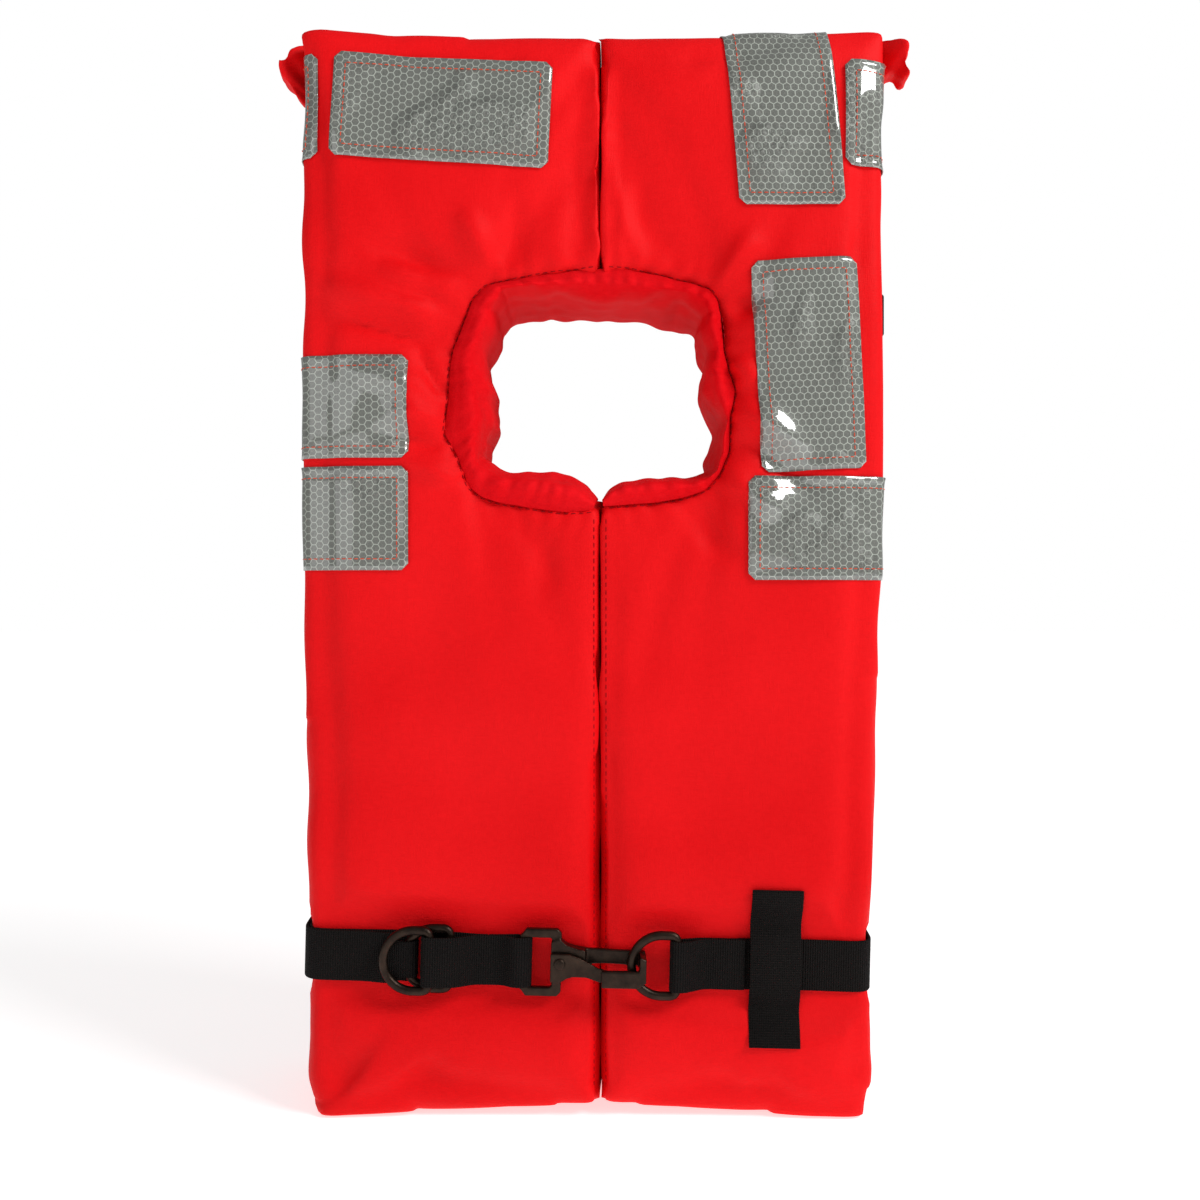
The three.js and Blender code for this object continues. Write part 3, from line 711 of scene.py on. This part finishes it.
def surface_of(*objs):
    bm = bmesh.new()
    for obj in objs:
        bm.from_mesh(obj.data)
    tree = BVHTree.FromBMesh(bm)
    bm.free()
    return tree


cloth_surface = surface_of(cover_left, cover_right)


def on_cloth(point, direction, lift=0.0, reach=40.0):
    """The cloth's point that a ray along direction meets near a point, lifted off the cloth."""
    d = Vector(direction).normalized()
    origin = (Vector(point) - d * reach) * MM
    hit = cloth_surface.ray_cast(origin, d, 2.2 * reach * MM)[0]
    return Vector(point) if hit is None else hit / MM - d * lift


# ---------- the lining of the neck opening ----------
def make_lining():
    """A strip gathered in soft bulges, from the front seam through the opening to the rear."""
    steps, across = 520, 64
    rows = resample(NECK, steps, 7)
    seam, throat, lip = rows[:, :2], rows[:, 2:4], rows[:, 4]
    walk = lengths(seam)
    ends = smooth_step(np.minimum(walk, walk[-1] - walk), 0, 9)
    small = waves(walk[:, None], 8.5, 61, 8) * ends
    verts, faces = [], []
    out = throat - seam
    toward = out / np.linalg.norm(out, axis=1)[:, None]
    levels = []
    for start, way in ((FRONT, 1), (REAR, -1)):
        at = seam - toward * 2.5
        hits = [on_cloth((x, start, z), (0, way, 0)).y for x, z in at]
        ys = np.clip(hits, start - 5, start) if way > 0 else np.clip(hits, start, start + 5)
        levels.append(np.convolve(np.pad(ys, 8, "edge"), np.ones(17) / 17, "valid"))
    for j in range(across):
        v = j / (across - 1)
        angle = math.pi * v
        inward = math.sin(angle) ** (0.5 if v < 0.5 else 0.9)
        turn = math.cos(angle)
        bent = abs(turn) ** 0.6
        y = MIDDLE_Y + bent * (levels[0 if turn > 0 else 1] - MIDDLE_Y)
        sheet = np.stack([walk, np.full(steps, 75.0 * v)], 1)
        fold = 1.0 * waves(sheet, 34, 62, 8) + 0.6 * waves(sheet * (1, 0.35), 12, 63, 8)
        xz = seam + out * inward + toward * (fold * math.sin(angle) ** 0.8)[:, None]
        lips = bell(v - 0.88, 0.10) - bell(v - 0.12, 0.10)
        wrinkle = 1.15 * small * bell(min(v, 1 - v), 0.14)
        ys = y + (lip + wrinkle) * lips + 1.8 * (bell(v, 0.03) - bell(1 - v, 0.03))
        verts += [(xz[i, 0], ys[i], xz[i, 1]) for i in range(steps)]
    for j in range(across - 1):
        for i in range(steps - 1):
            a = j * steps + i
            faces.append((a, a + 1, a + steps + 1, a + steps))
    obj = new_object("neck_lining", verts, faces)
    co = coords(obj)
    co += normals(obj) * (0.30 * waves(co, 14, 31))[:, None]
    set_coords(obj, co)
    modifier(obj, "SOLIDIFY", thickness=0.0007, offset=0.0)
    apply_modifiers(obj)
    return dress(obj, LINING)


lining = make_lining()
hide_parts("neck_lining_left", "neck_lining_right", "neck_lining_top")


# ---------- threads ----------
def stitches(name, runs, material, length, gap, radius):
    """Short raised threads along runs of (points, normals)."""
    verts, faces, round_steps = [], [], circle(6)
    sides = len(round_steps)
    # Along a thread: how far, how thick and how high.
    profile = [(0.0, 0.25, -0.15), (0.18, 0.9, 0.1), (0.5, 1.0, 0.2)]
    profile += [(1 - t, wide, high) for t, wide, high in profile[1::-1]]
    for points, ups in runs:
        points, ups = np.array(points, float), np.array(ups, float)
        steps = lengths(points)
        count = int(steps[-1] / (length + gap))
        for k in range(count):
            start = (k + 0.5) * steps[-1] / count - length / 2
            a, b = (point_at(points, steps, t) for t in (start, start + length))
            up = point_at(ups, steps, start + length / 2)
            up /= max(np.linalg.norm(up), TINY)
            across = np.cross((b - a) / max(np.linalg.norm(b - a), TINY), up)
            base = len(verts)
            for t, wide, high in profile:
                centre = a + (b - a) * t + up * radius * (high + 0.35)
                verts += [centre + radius * wide * (across * c + up * s) for c, s in round_steps]
            faces += tube_faces(len(profile), sides, base)
            faces.append(range(base + sides - 1, base - 1, -1))
            faces.append(range(len(verts) - sides, len(verts)))
    return dress(new_object(name, verts, faces), material)


def run_on_cloth(line, direction, lift):
    """Points and normals on the cloth along a line in x and z."""
    flat = resample(line, max(4, int(whole_length(line) / 1.5)), 2)
    start = FRONT if direction[1] > 0 else REAR
    hits = [np.array(on_cloth((x, start, z), direction, lift)) for x, z in flat]
    return hits, [-np.array(direction, float)] * len(hits)


# ---------- reflective film ----------
FILM = 0.35  # thickness
CUT = 3.2  # off each corner
HEM = 5.5  # from the edge to the stitches


def film(name, width, height, place, curl=0.6, seed=0, upright=False):
    """A patch of film. place(u, v) gives a point of the patch and its outward direction."""
    nu, nv = max(8, int(width / 2.2)), max(8, int(height / 2.2))
    bm = bmesh.new()
    uv = bm.loops.layers.uv.new("film")
    grid = {}
    for i in range(nu + 1):
        for j in range(nv + 1):
            grid[i, j] = bm.verts.new((width * i / nu - width / 2, height * j / nv - height / 2, 0))
    for i in range(nu):
        for j in range(nv):
            bm.faces.new((grid[i, j], grid[i + 1, j], grid[i + 1, j + 1], grid[i, j + 1]))
    for sx, sy in ((-1, -1), (-1, 1), (1, -1), (1, 1)):
        geom = bm.verts[:] + bm.edges[:] + bm.faces[:]
        edge = (sx * (width / 2 - CUT), sy * height / 2, 0)
        bmesh.ops.bisect_plane(bm, geom=geom, plane_co=edge, plane_no=(sx, sy, 0), clear_outer=True)
    for face in bm.faces:
        for loop in face.loops:
            u, v = loop.vert.co.x * MM, loop.vert.co.y * MM
            loop[uv].uv = (v, u) if upright else (u, v)
    us = np.array([v.co[:2] for v in bm.verts])
    outer = smooth_step(np.max(np.abs(us) / (width / 2, height / 2), axis=1), 0.86, 1.0)
    lift = 0.35 + curl * 0.5 * (1 + waves(us, 70, 300 + seed, 6)) * outer
    for vert, (u, v), up in zip(list(bm.verts), us, lift):
        point, out = place(u, v)
        vert.co = (point + Vector(out) * up) * MM
    bmesh.ops.recalc_face_normals(bm, faces=bm.faces)
    mesh = bpy.data.meshes.new(name)
    bm.normal_update()
    if sum(f.normal.dot(Vector(place(0, 0)[1])) for f in bm.faces) < 0:
        bmesh.ops.reverse_faces(bm, faces=bm.faces)
    bm.to_mesh(mesh)
    bm.free()
    obj = bpy.data.objects.new(name, mesh)
    bpy.context.scene.collection.objects.link(obj)
    modifier(obj, "SOLIDIFY", thickness=FILM * MM, offset=1.0)
    apply_modifiers(obj)
    dress(obj, TAPE)
    # The border's stitches.
    w, h, runs = width / 2 - HEM, height / 2 - HEM, []
    corners = [(-w, -h), (w, -h), (w, h), (-w, h), (-w, -h)]
    for a, b in zip(corners[:-1], corners[1:]):
        points, ups = [], []
        for t in np.linspace(0, 1, max(6, int(math.dist(a, b) / 2))):
            point, out = place(a[0] + (b[0] - a[0]) * t, a[1] + (b[1] - a[1]) * t)
            points.append(np.array(point + Vector(out) * (0.45 + FILM)))
            ups.append(np.array(out))
        runs.append((points, ups))
    thread = stitches(name + "_stitches", runs, TAPE_THREAD, 2.2, 0.8, 0.26)
    return obj, thread


def smooth_cloth_point(point, d, spread=4.0):
    """A cloth point averaged over a small patch, as a stiff film would bridge it."""
    a = d.orthogonal().normalized()
    b, offs = d.cross(a), []
    for i, j in ((0, 0), (1, 0), (-1, 0), (0, 1), (0, -1)):
        offs.append((on_cloth(point + (a * i + b * j) * spread, d) - point).dot(d))
    near = [off for off in offs if abs(off) < 25]
    return point + d * min(sum(near) / len(near), offs[0]) if near else point


def flat_place(centre, lean, rear=False):
    angle = math.radians(lean)
    right = Vector((math.cos(angle), 0, -math.sin(angle)))
    up = Vector((math.sin(angle), 0, math.cos(angle)))
    toward = Vector((0, -1 if rear else 1, 0))
    base = Vector((centre[0], REAR if rear else FRONT, centre[1]))

    def place(u, v):
        return smooth_cloth_point(base + right * u + up * v, toward), -toward

    return place


def turning_place(path, middle, rise, lean, axis):
    """A patch that turns along a path in plan; u runs along the path, v across it."""
    line = resample(path, 90, 8)
    steps = lengths(line)

    def place(u, v):
        t = np.clip(u + middle, 0, steps[-1])
        o, p, q = (point_at(line, steps, w) for w in (max(t - 0.5, 0), t, min(t + 0.5, steps[-1])))
        d = (q - o) / np.linalg.norm(q - o)
        out2 = np.array([d[1], -d[0]])
        centre = np.array([0.0, MIDDLE_Y]) if axis == "z" else np.array([MIDDLE_Y, TOP - 60])
        if np.dot(out2, p - centre) < 0:
            out2 = -out2
        if axis == "z":
            point = Vector((p[0], p[1], rise + v + lean * u))
            out = Vector((out2[0], out2[1], 0))
        else:
            point = Vector((rise + v + lean * u, p[0], p[1]))
            out = Vector((0, out2[0], out2[1]))
        off = (on_cloth(point, -out, 0.0, 16.0) - point).dot(out)
        return point + out * (off if -8 <= off <= 12 else 0.3), out

    return place


def side_path(x, end_y):
    wall = math.copysign(SIDE + 0.4, x)
    turn = math.copysign(6, x)
    return [
        (x, FRONT - 0.4), (wall - turn, FRONT - 0.4), (wall - turn * 0.3, FRONT + 1.4),
        (wall, FRONT + 6), (wall, end_y),
    ]


def add_film(name, body, made, bent=False):
    for obj in made:
        if bent:
            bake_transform(obj)
        else:
            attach(obj, body)
    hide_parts(name)


def flat_film(name, body, width, height, centre, lean, rear=False, bent=False, seed=0):
    place = flat_place(centre, lean, rear)
    made = film("film_" + name[5:], width, height, place, seed=seed, upright=height > width)
    add_film(name, body, made, bent)


def turned_film(name, body, path, height, rise, lean, axis, curl, bent, seed):
    length = 0.985 * whole_length(path)
    place = turning_place(path, length / 2, rise, lean, axis)
    add_film(name, body, film("film_" + name[5:], length, height, place, curl, seed), bent)


def side_film(name, body, x, end_y, z, height, bent=False, seed=0):
    turned_film(name, body, side_path(x, end_y), height, z, 0.0, "z", 0.9, bent, seed)


def make_films():
    flat_film("tape_collar_left", "collar", 105, 51, (-72.4, 486.3), 2.9, seed=1)
    flat_film("tape_shoulder_right", "collar", 51, 101.6, (104.6, 363.4), -3.0, bent=True, seed=2)
    side_film("tape_collar_side_right", "collar", 121.5, -13, 484.5, 51, seed=3)
    side_film("tape_collar_side_left", "collar", -132, -13, 488.5, 51, seed=4)
    side_film("tape_chest_right", "chest", 75, 2, 284.8, 50, bent=True, seed=5)
    side_film("tape_chest_left_upper", "chest", -88, 11, 343.2, 49.5, bent=True, seed=6)
    side_film("tape_chest_left_lower", "chest", -88, 11, 289.5, 50, bent=True, seed=7)
    path = [
        (FRONT - 0.4, 440), (FRONT - 0.4, TOP - 5), (FRONT + 1.6, TOP - 1), (FRONT + 6, TOP + 0.3),
        (-13, TOP + 0.3),
    ]
    turned_film("tape_collar_top", "collar", path, 51, 91.8, -0.09, "x", 0.6, False, 8)
    for name, x, z, body in (
        ("tape_rear_collar_left", -70, 470, "collar"),
        ("tape_rear_collar_right", 76, 470, "collar"),
        ("tape_rear_chest_left", -70, 250, "chest"),
        ("tape_rear_chest_right", 78, 250, "chest"),
    ):
        flat_film(name, body, 101.6, 51, (x, z), 0.0, rear=True, seed=z + x)


make_films()


# ---------- seams' stitches ----------
def make_seam_threads():
    front, back = (0, 1, 0), (0, -1, 0)
    centre = np.array([3.0, 352.0])
    neck = [tuple(p + 1.0 * (p - centre) / np.linalg.norm(p - centre)) for p in np.array(NECK_SEAM)]
    runs = [run_on_cloth(neck, front, 0.15), run_on_cloth(neck, back, 0.15)]
    for x in (SLIT - 2.9, SLIT + 2.9):
        runs += [run_on_cloth([(x, 14), (x, 290)], way, 0.0) for way in (front, back)]
    # These seam threads are darkened with painted shade of the needle dimples.
    obj = stitches("cover_seam_stitches", runs, SEAM_THREAD_PAINTED_DIMPLE_SHADE, 2.4, 1.4, 0.24)
    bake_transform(obj)


make_seam_threads()


# ---------- corner tucks ----------
def tuck(name, outline, y0, y1, node, seed):
    """A folded corner of spare cloth that leans forward, puffed and pleated towards its root."""
    obj = slab(name, outline, y0, y1, 1.4)
    modifier(obj, "SMOOTH", factor=0.6, iterations=6)
    apply_modifiers(obj)
    co, n = coords(obj), normals(obj)
    side = math.copysign(1, co[:, 0].mean())
    reach = np.maximum(side * co[:, 0] - 138.5, 0)
    spread = np.arctan2(co[:, 2] - 496, reach + 6)
    pleat = np.sin(15 * spread + 0.12 * reach + seed) * np.minimum(reach / 4, 1)
    rise = 1.7 * pleat + 0.5 * waves(co, 9, seed + 1)
    co += n * rise[:, None]
    co[:, 1] -= 1.1 * reach
    set_coords(obj, co)
    modifier(obj, "SMOOTH", factor=0.4, iterations=2)
    apply_modifiers(obj)
    settle(dress(obj, COVER), "collar", node)


LEFT_TUCK = [
    (-134, 529), (-141, 530), (-145, 527), (-148.5, 521), (-154.5, 515), (-152, 510),
    (-150, 503), (-145, 499.5), (-141, 502), (-134, 500),
]
RIGHT_TUCK = [
    (134, 498), (142, 505), (148, 512.5), (156, 506.5), (155.2, 517), (155, 523), (152, 527),
    (147, 530), (142, 530), (134, 528),
]
tuck("corner_tuck_left_cloth", LEFT_TUCK, -11, 7, "corner_tuck_left", 41)
tuck("corner_tuck_right_cloth", RIGHT_TUCK, -10, 9, "corner_tuck_right", 43)


# ---------- webbing ----------
def rounded(points, radius, spacing=1.6, rounds=4):
    """A polyline with its corners rounded, as even points."""
    pts = np.array(points, float)
    out = [pts[0]]
    for a, p, b in zip(pts[:-2], pts[1:-1], pts[2:]):
        cuts = []
        for q in (a, b):
            length = np.linalg.norm(q - p)
            cuts.append(p + (q - p) / length * min(radius, length / 2))
        out += corner(cuts[0], p, cuts[1], 6)
    out.append(pts[-1])
    return resample(out, max(8, int(whole_length(out) / spacing)), rounds)


THICK = 1.5
SOFT = 0.45 * THICK  # the rounding of the webbing's edges


def strap(name, line, wide, half, seed, taper=None):
    """Flat webbing along a 3-D line, with its width along the direction wide."""
    along = np.gradient(line, axis=0)
    along /= np.linalg.norm(along, axis=1)[:, None]
    up, steps = np.cross(along, wide), lengths(line)
    ring = [
        (sx, sy, ex, ey)
        for sx, sy in ((-1, -1), (1, -1), (1, 1), (-1, 1))
        for ex, ey in ((1.0, 0.35), (0.35, 1.0))[:: sx * sy]
    ]
    wave = 0.35 * waves(steps[:, None], 60, 500 + seed, 5)
    widths = taper(steps / steps[-1]) if taper else np.full(len(line), half)
    verts = []
    for i, point in enumerate(line):
        for sx, sy, ex, ey in ring:
            w = sx * (widths[i] - SOFT * (1 - ex)) + wave[i] * 0.5
            t = sy * (THICK / 2 - SOFT * 0.6 * (1 - ey))
            verts.append(point + np.array(wide) * w + up[i] * t)
    sides = len(ring)
    faces = tube_faces(len(line), sides)
    faces += [range(sides - 1, -1, -1), range(len(verts) - sides, len(verts))]
    obj = new_object(name, verts, faces)
    uv = obj.data.uv_layers.new(name="strap")
    for loop, spot in zip(obj.data.loops, uv.data):
        i, q = divmod(loop.vertex_index, sides)
        spot.uv = (steps[i] * MM, ring[q][0] * widths[i] * MM)
    face_outwards(obj)
    return dress(obj, WEBBING)


belt_frame = Matrix.Translation((0, MIDDLE_Y * MM, BELT_Z * MM)) @ Matrix.Rotation(BELT_TILT, 4, "Y")


def in_belt(obj):
    obj.data.transform(belt_frame)
    return obj


def belt_piece(name, points, radius, rounds, half, seed, taper=None, nodes=()):
    """Webbing in the belt's frame, from points in x and y."""
    line = rounded(points, radius, rounds=rounds)
    obj = strap(name, np.c_[line, np.zeros(len(line))], UP, half, seed, taper)
    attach(in_belt(obj), "chest")
    if nodes:
        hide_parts(*nodes)


UP = (0, 0, 1)
FIRST, SECOND = 41.05, 42.85  # how far the layers of webbing are from the middle of the depth
WIRE = 2.1  # radius of the rings' wire
RINGS = {"A": (-101.3, -49.4), "B": (-92.0, -44.6), "C": (16.9, -47.8)}  # left end and depth
RING_WIDE = 26.0
FOLD = RINGS["B"][0] + 2 * WIRE + 3.9


def bar(name):
    """x of a ring's straight bar."""
    return RINGS[name][0] + RING_WIDE - WIRE


def make_webbing():
    left, right = BELT_LEFT, BELT_RIGHT
    under = [
        (FOLD, -FIRST), (left + 3.5, -FIRST), (left, -35), (left - 2, 0), (left, 35),
        (left + 3.5, FIRST), (right - 3.5, FIRST), (right, 35), (right + 2, 0), (right, -35),
        (right - 3.5, -FIRST), (70, -FIRST),
    ]
    belt_piece("body_belt_webbing", under, 7, 4, 12.2, 1, nodes=["body_belt"])
    hold = WIRE + 1.05
    front, rear = RINGS["C"][1] - hold, RINGS["C"][1] + hold
    turn = bar("C") - hold
    loop = [
        (72, -FIRST), (52, -FIRST), (bar("C") + 2, rear), (turn, rear), (turn, front),
        (bar("C") + 3, front), (54, -SECOND), (73.5, -SECOND),
    ]
    belt_piece("closing_loop_webbing", loop, 2.4, 2, 12, 2)
    tail = [
        (-95, -45.6), (-100, -45.6), (-108, -SECOND), (left + 2.5, -SECOND), (left - 1.8, -36),
        (left - 3.8, -4), (left - 3.8, 7),
    ]
    belt_piece("belt_tail_webbing", tail, 7, 4, 12, 3)
    wrap = [
        (FOLD - 5, -FIRST), (FOLD, -FIRST), (FOLD, -47.75), (RINGS["B"][0] + 1, -47.75),
        (-96, -45.6), (-99, -45.6),
    ]
    belt_piece("belt_wrap_webbing", wrap, 1.8, 2, 12, 4, lambda t: 8.6 + 3.2 * (2 * t - 1) ** 2)
    hold = WIRE + THICK / 2 + 0.5
    x0, x1 = bar("A") - hold, bar("B") + hold
    y0, y1 = RINGS["A"][1] - hold, RINGS["B"][1] + hold
    band = [
        (-50, -43.25), (-56, -43.25), (x1, y1), (x0 + 1, y1), (x0, y1 - 1), (x0, y0 + 1),
        (x0 + 1, y0), (x1 - 1, y0 + 1.4), (-56, -44.75), (-42, -44.75), (-37.5, -49.2), (-32, -49.2),
        (-29.1, -48), (-29.1, -43), (-32, -42.4), (-38, -42.4), (-42, -43.25), (-49.6, -43.25),
    ]
    belt_piece("hook_strap_webbing", band, 1.7, 2, 11.8, 5, nodes=["hook_strap"])
    flat, over = -41.05, -SECOND - 2.1
    profile = rounded(
        [(flat, -37.5), (flat, -21), (over, -15), (over, 15), (flat, 21), (flat, 37.5)], 5, 1.2, 4
    )
    for row in profile:
        cloth = [on_cloth((88 + dx, FRONT, BELT_Z + row[1]), (0, 1, 0)).y for dx in (-12, 0, 12)]
        row[0] = min(row[0], min(cloth) - MIDDLE_Y - 1.0)
    profile = resample(profile, len(profile), 3)
    line = np.c_[np.full(len(profile), 88.0), profile]
    keeper = strap("belt_keeper_webbing", line, (1, 0, 0), 12.2, seed=7)
    settle(in_belt(keeper), "chest", "belt_keeper")
    lo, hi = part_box("light_loop")
    z = (lo.z + hi.z) / 2 / MM
    wall = SIDE + 1.05
    path = [(wall, -19), (wall, -7), (wall + 9, -1), (wall + 9, 11), (wall, 17), (wall, 29)]
    line = rounded(path, 4, 1.2, 4)
    light = strap("light_loop_webbing", np.c_[line, np.full(len(line), z)], UP, 10, seed=8)
    settle(light, "collar", "light_loop")


make_webbing()


# ---------- metal ----------
def d_outline():
    """A D ring's centre line in x and z, its round side on the left."""
    r = 16.5 - WIRE
    right = RING_WIDE - 2 * WIRE - r
    points = [(-r * math.sin(t), r * math.cos(t)) for t in np.linspace(0, math.pi, 50)]
    points += corner((right - 4, -r), (right, -r), (right, -r + 4), 8)
    points += corner((right, r - 4), (right, r), (right - 4, r), 8)
    points.append(points[0])
    return resample(points, 121)[:-1] + (WIRE + r, 0)


def wire_ring(name, key, body, node):
    line, round_steps, verts = d_outline(), circle(20), []
    for before, point, after in zip(np.roll(line, 1, 0), line, np.roll(line, -1, 0)):
        along = (after - before) / np.linalg.norm(after - before)
        for c, s in round_steps:
            r = WIRE * (1 + 0.03 * (c * c - s * s))
            x, z = point + np.array([along[1], -along[0]]) * r * c
            verts.append((RINGS[key][0] + x, RINGS[key][1] + r * s, z))
    faces = tube_faces(len(line), len(round_steps), ring=True)
    obj = in_belt(new_object(name, verts, faces))
    face_outwards(obj)
    settle(dress(obj, METAL), body, node)


wire_ring("adjuster_ring_front_wire", "A", "chest", "adjuster_ring_front")
wire_ring("adjuster_ring_rear_wire", "B", "chest", "adjuster_ring_rear")
wire_ring("closing_ring_wire", "C", "ring", "closing_ring")


def cast(name, plates, voxel=0.55, smooth=4):
    """Plates (outline in x and z, y0, y1) fused into one casting with soft edges."""
    verts, faces = [], []
    for plate in plates:
        points, sides = prism(*plate)
        faces += [[len(verts) + i for i in face] for face in sides]
        verts += points
    obj = new_object(name, verts, faces)
    face_outwards(obj, split=True)
    modifier(obj, "REMESH", mode="VOXEL", voxel_size=voxel * MM, use_smooth_shade=True)
    modifier(obj, "SMOOTH", factor=0.5, iterations=smooth)
    apply_modifiers(obj)
    return dress(in_belt(obj), METAL)


def make_hook():
    frame_y = (-47.6, -43.6)
    frame_bars = [
        ([(-34.5, 11.8), (-31.5, 16), (-16.5, 16), (-14.5, 14), (-14.5, 11.8)], *frame_y),
        ([(-34.5, -11.8), (-31.5, -16), (-16.5, -16), (-14.5, -14), (-14.5, -11.8)], *frame_y),
        ([(-19, 13), (-14.5, 13), (-14.5, -13), (-19, -13)], *frame_y),
        ([(-34.5, 13), (-30.5, 13), (-30.5, -13), (-34.5, -13)], *frame_y),
    ]
    shank = [
        ([(-19.5, 10), (-15.5, 11.5), (-12, 8.6), (-7, 7), (-3, 6.4), (-3, -3), (-10, -6.5),
          (-14.5, -9), (-19.5, -9)], -48.4, -41.4),
        ([(-10, 7.6), (-2, 6.4), (8, 6), (25.6, 5.6), (26, -1.6), (6, -0.6), (-10, -2)], -44.2, -41.2),
        ([(22.8, 5.4), (26, 4), (26, -4.2), (22.8, -4.2)], -54.4, -41.2),
        ([(4.8, -9.6), (22.4, -9.6), (26, -7), (26, -1.6), (4.8, -1.6)], -54.4, -51.6),
    ]
    settle(cast("snap_hook_casting", frame_bars + shank), "chest", "snap_hook", "gate_spring")
    plate = [
        ([(-19.6, 5.4), (-11, 5.2), (-6, 3.6), (-1, 1.0), (3, -1.2), (7.4, -2.2), (7.4, -8.2),
          (4, -7.8), (-2, -5.8), (-9, -5.6), (-13, -6.8), (-16, -8.4), (-19.6, -8.4)], -51.3, -49.1),
    ]
    settle(cast("hook_gate_plate", plate, voxel=0.45, smooth=3), "gate", "hook_gate")
    profile = [
        (0.0, -52.55), (1.2, -52.5), (2.2, -52.3), (2.65, -51.95), (2.75, -51.6), (2.0, -51.2),
        (2.0, -49),
    ]
    round_steps = circle(28)
    verts = [(-15.3 + r * c, y, 0.4 + r * s) for r, y in profile for c, s in round_steps]
    faces = tube_faces(len(profile), len(round_steps))
    rivet = in_belt(new_object("gate_rivet_head", verts, faces))
    face_outwards(rivet, weld=True)
    settle(dress(rivet, METAL), "chest", "gate_rivet")


make_hook()

# ---------- the soft pieces, their placing baked into their meshes ---
for obj in (cover_left, cover_right, lining):
    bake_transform(obj)


# ---------- stage ----------
def make_stage():
    corners = [(x * 9e3, y * 9e3, -0.2) for x, y in ((-1, -1), (1, -1), (1, 1), (-1, 1))]
    floor = new_object("studio_floor", corners, [(0, 1, 2, 3)])
    s = Shader("pale_floor", Roughness=0.9, Emission_Color=(1, 1, 1, 1))
    metres = s.place(1000)
    distance_squared = s.vector("DOT_PRODUCT", metres, metres)
    s.set("Emission Strength", s.span(distance_squared, 0.62, 0.80, 0.1, 2.0))
    tone = s.noise(metres, 3.0, 2.0)
    s.set("Base Color", s.ramp(tone, [(0.3, (0.86, 0.86, 0.86)), (0.7, (0.90, 0.90, 0.90))]))
    floor.data.materials.append(s.material)


def area_light(name, place, size, power):
    light = bpy.data.lights.new(name, "AREA")
    light.shape = "RECTANGLE"
    light.size, light.size_y = size
    light.energy = power
    obj = bpy.data.objects.new(name, light)
    obj.location = place
    aim = Vector((0, 0, 0.27)) - Vector(place)
    obj.rotation_euler = aim.to_track_quat("-Z", "Y").to_euler()
    bpy.context.scene.collection.objects.link(obj)


make_stage()
area_light("key", (1.7, -1.05, 1.75), (1.0, 0.8), 42)
area_light("fill", (-1.5, -1.9, 0.9), (1.6, 1.2), 6)
world = bpy.data.worlds.new("studio")
world.use_nodes = True
world.node_tree.nodes["Background"].inputs[0].default_value = (1, 1, 1, 1)
tree = world.node_tree
lit = tree.nodes.new("ShaderNodeMapRange")  # white to look at, softer as a light
lit.inputs["To Min"].default_value, lit.inputs["To Max"].default_value = 0.30, 1.0
seen = tree.nodes.new("ShaderNodeLightPath").outputs["Is Camera Ray"]
tree.links.new(seen, lit.inputs["Value"])
tree.links.new(lit.outputs[0], tree.nodes["Background"].inputs[1])
bpy.context.scene.world = world
bpy.context.scene.view_settings.view_transform = "Standard"

camera = bpy.data.cameras.new("camera")
camera.sensor_width = 36
camera.lens = 36 * 600 / 579.7
holder = bpy.data.objects.new("camera", camera)
holder.location = (SLIT * MM, (FRONT - 600) * MM, 0.2502)
holder.rotation_euler = (math.pi / 2, 0, 0)
bpy.context.scene.collection.objects.link(holder)
bpy.context.scene.camera = holder
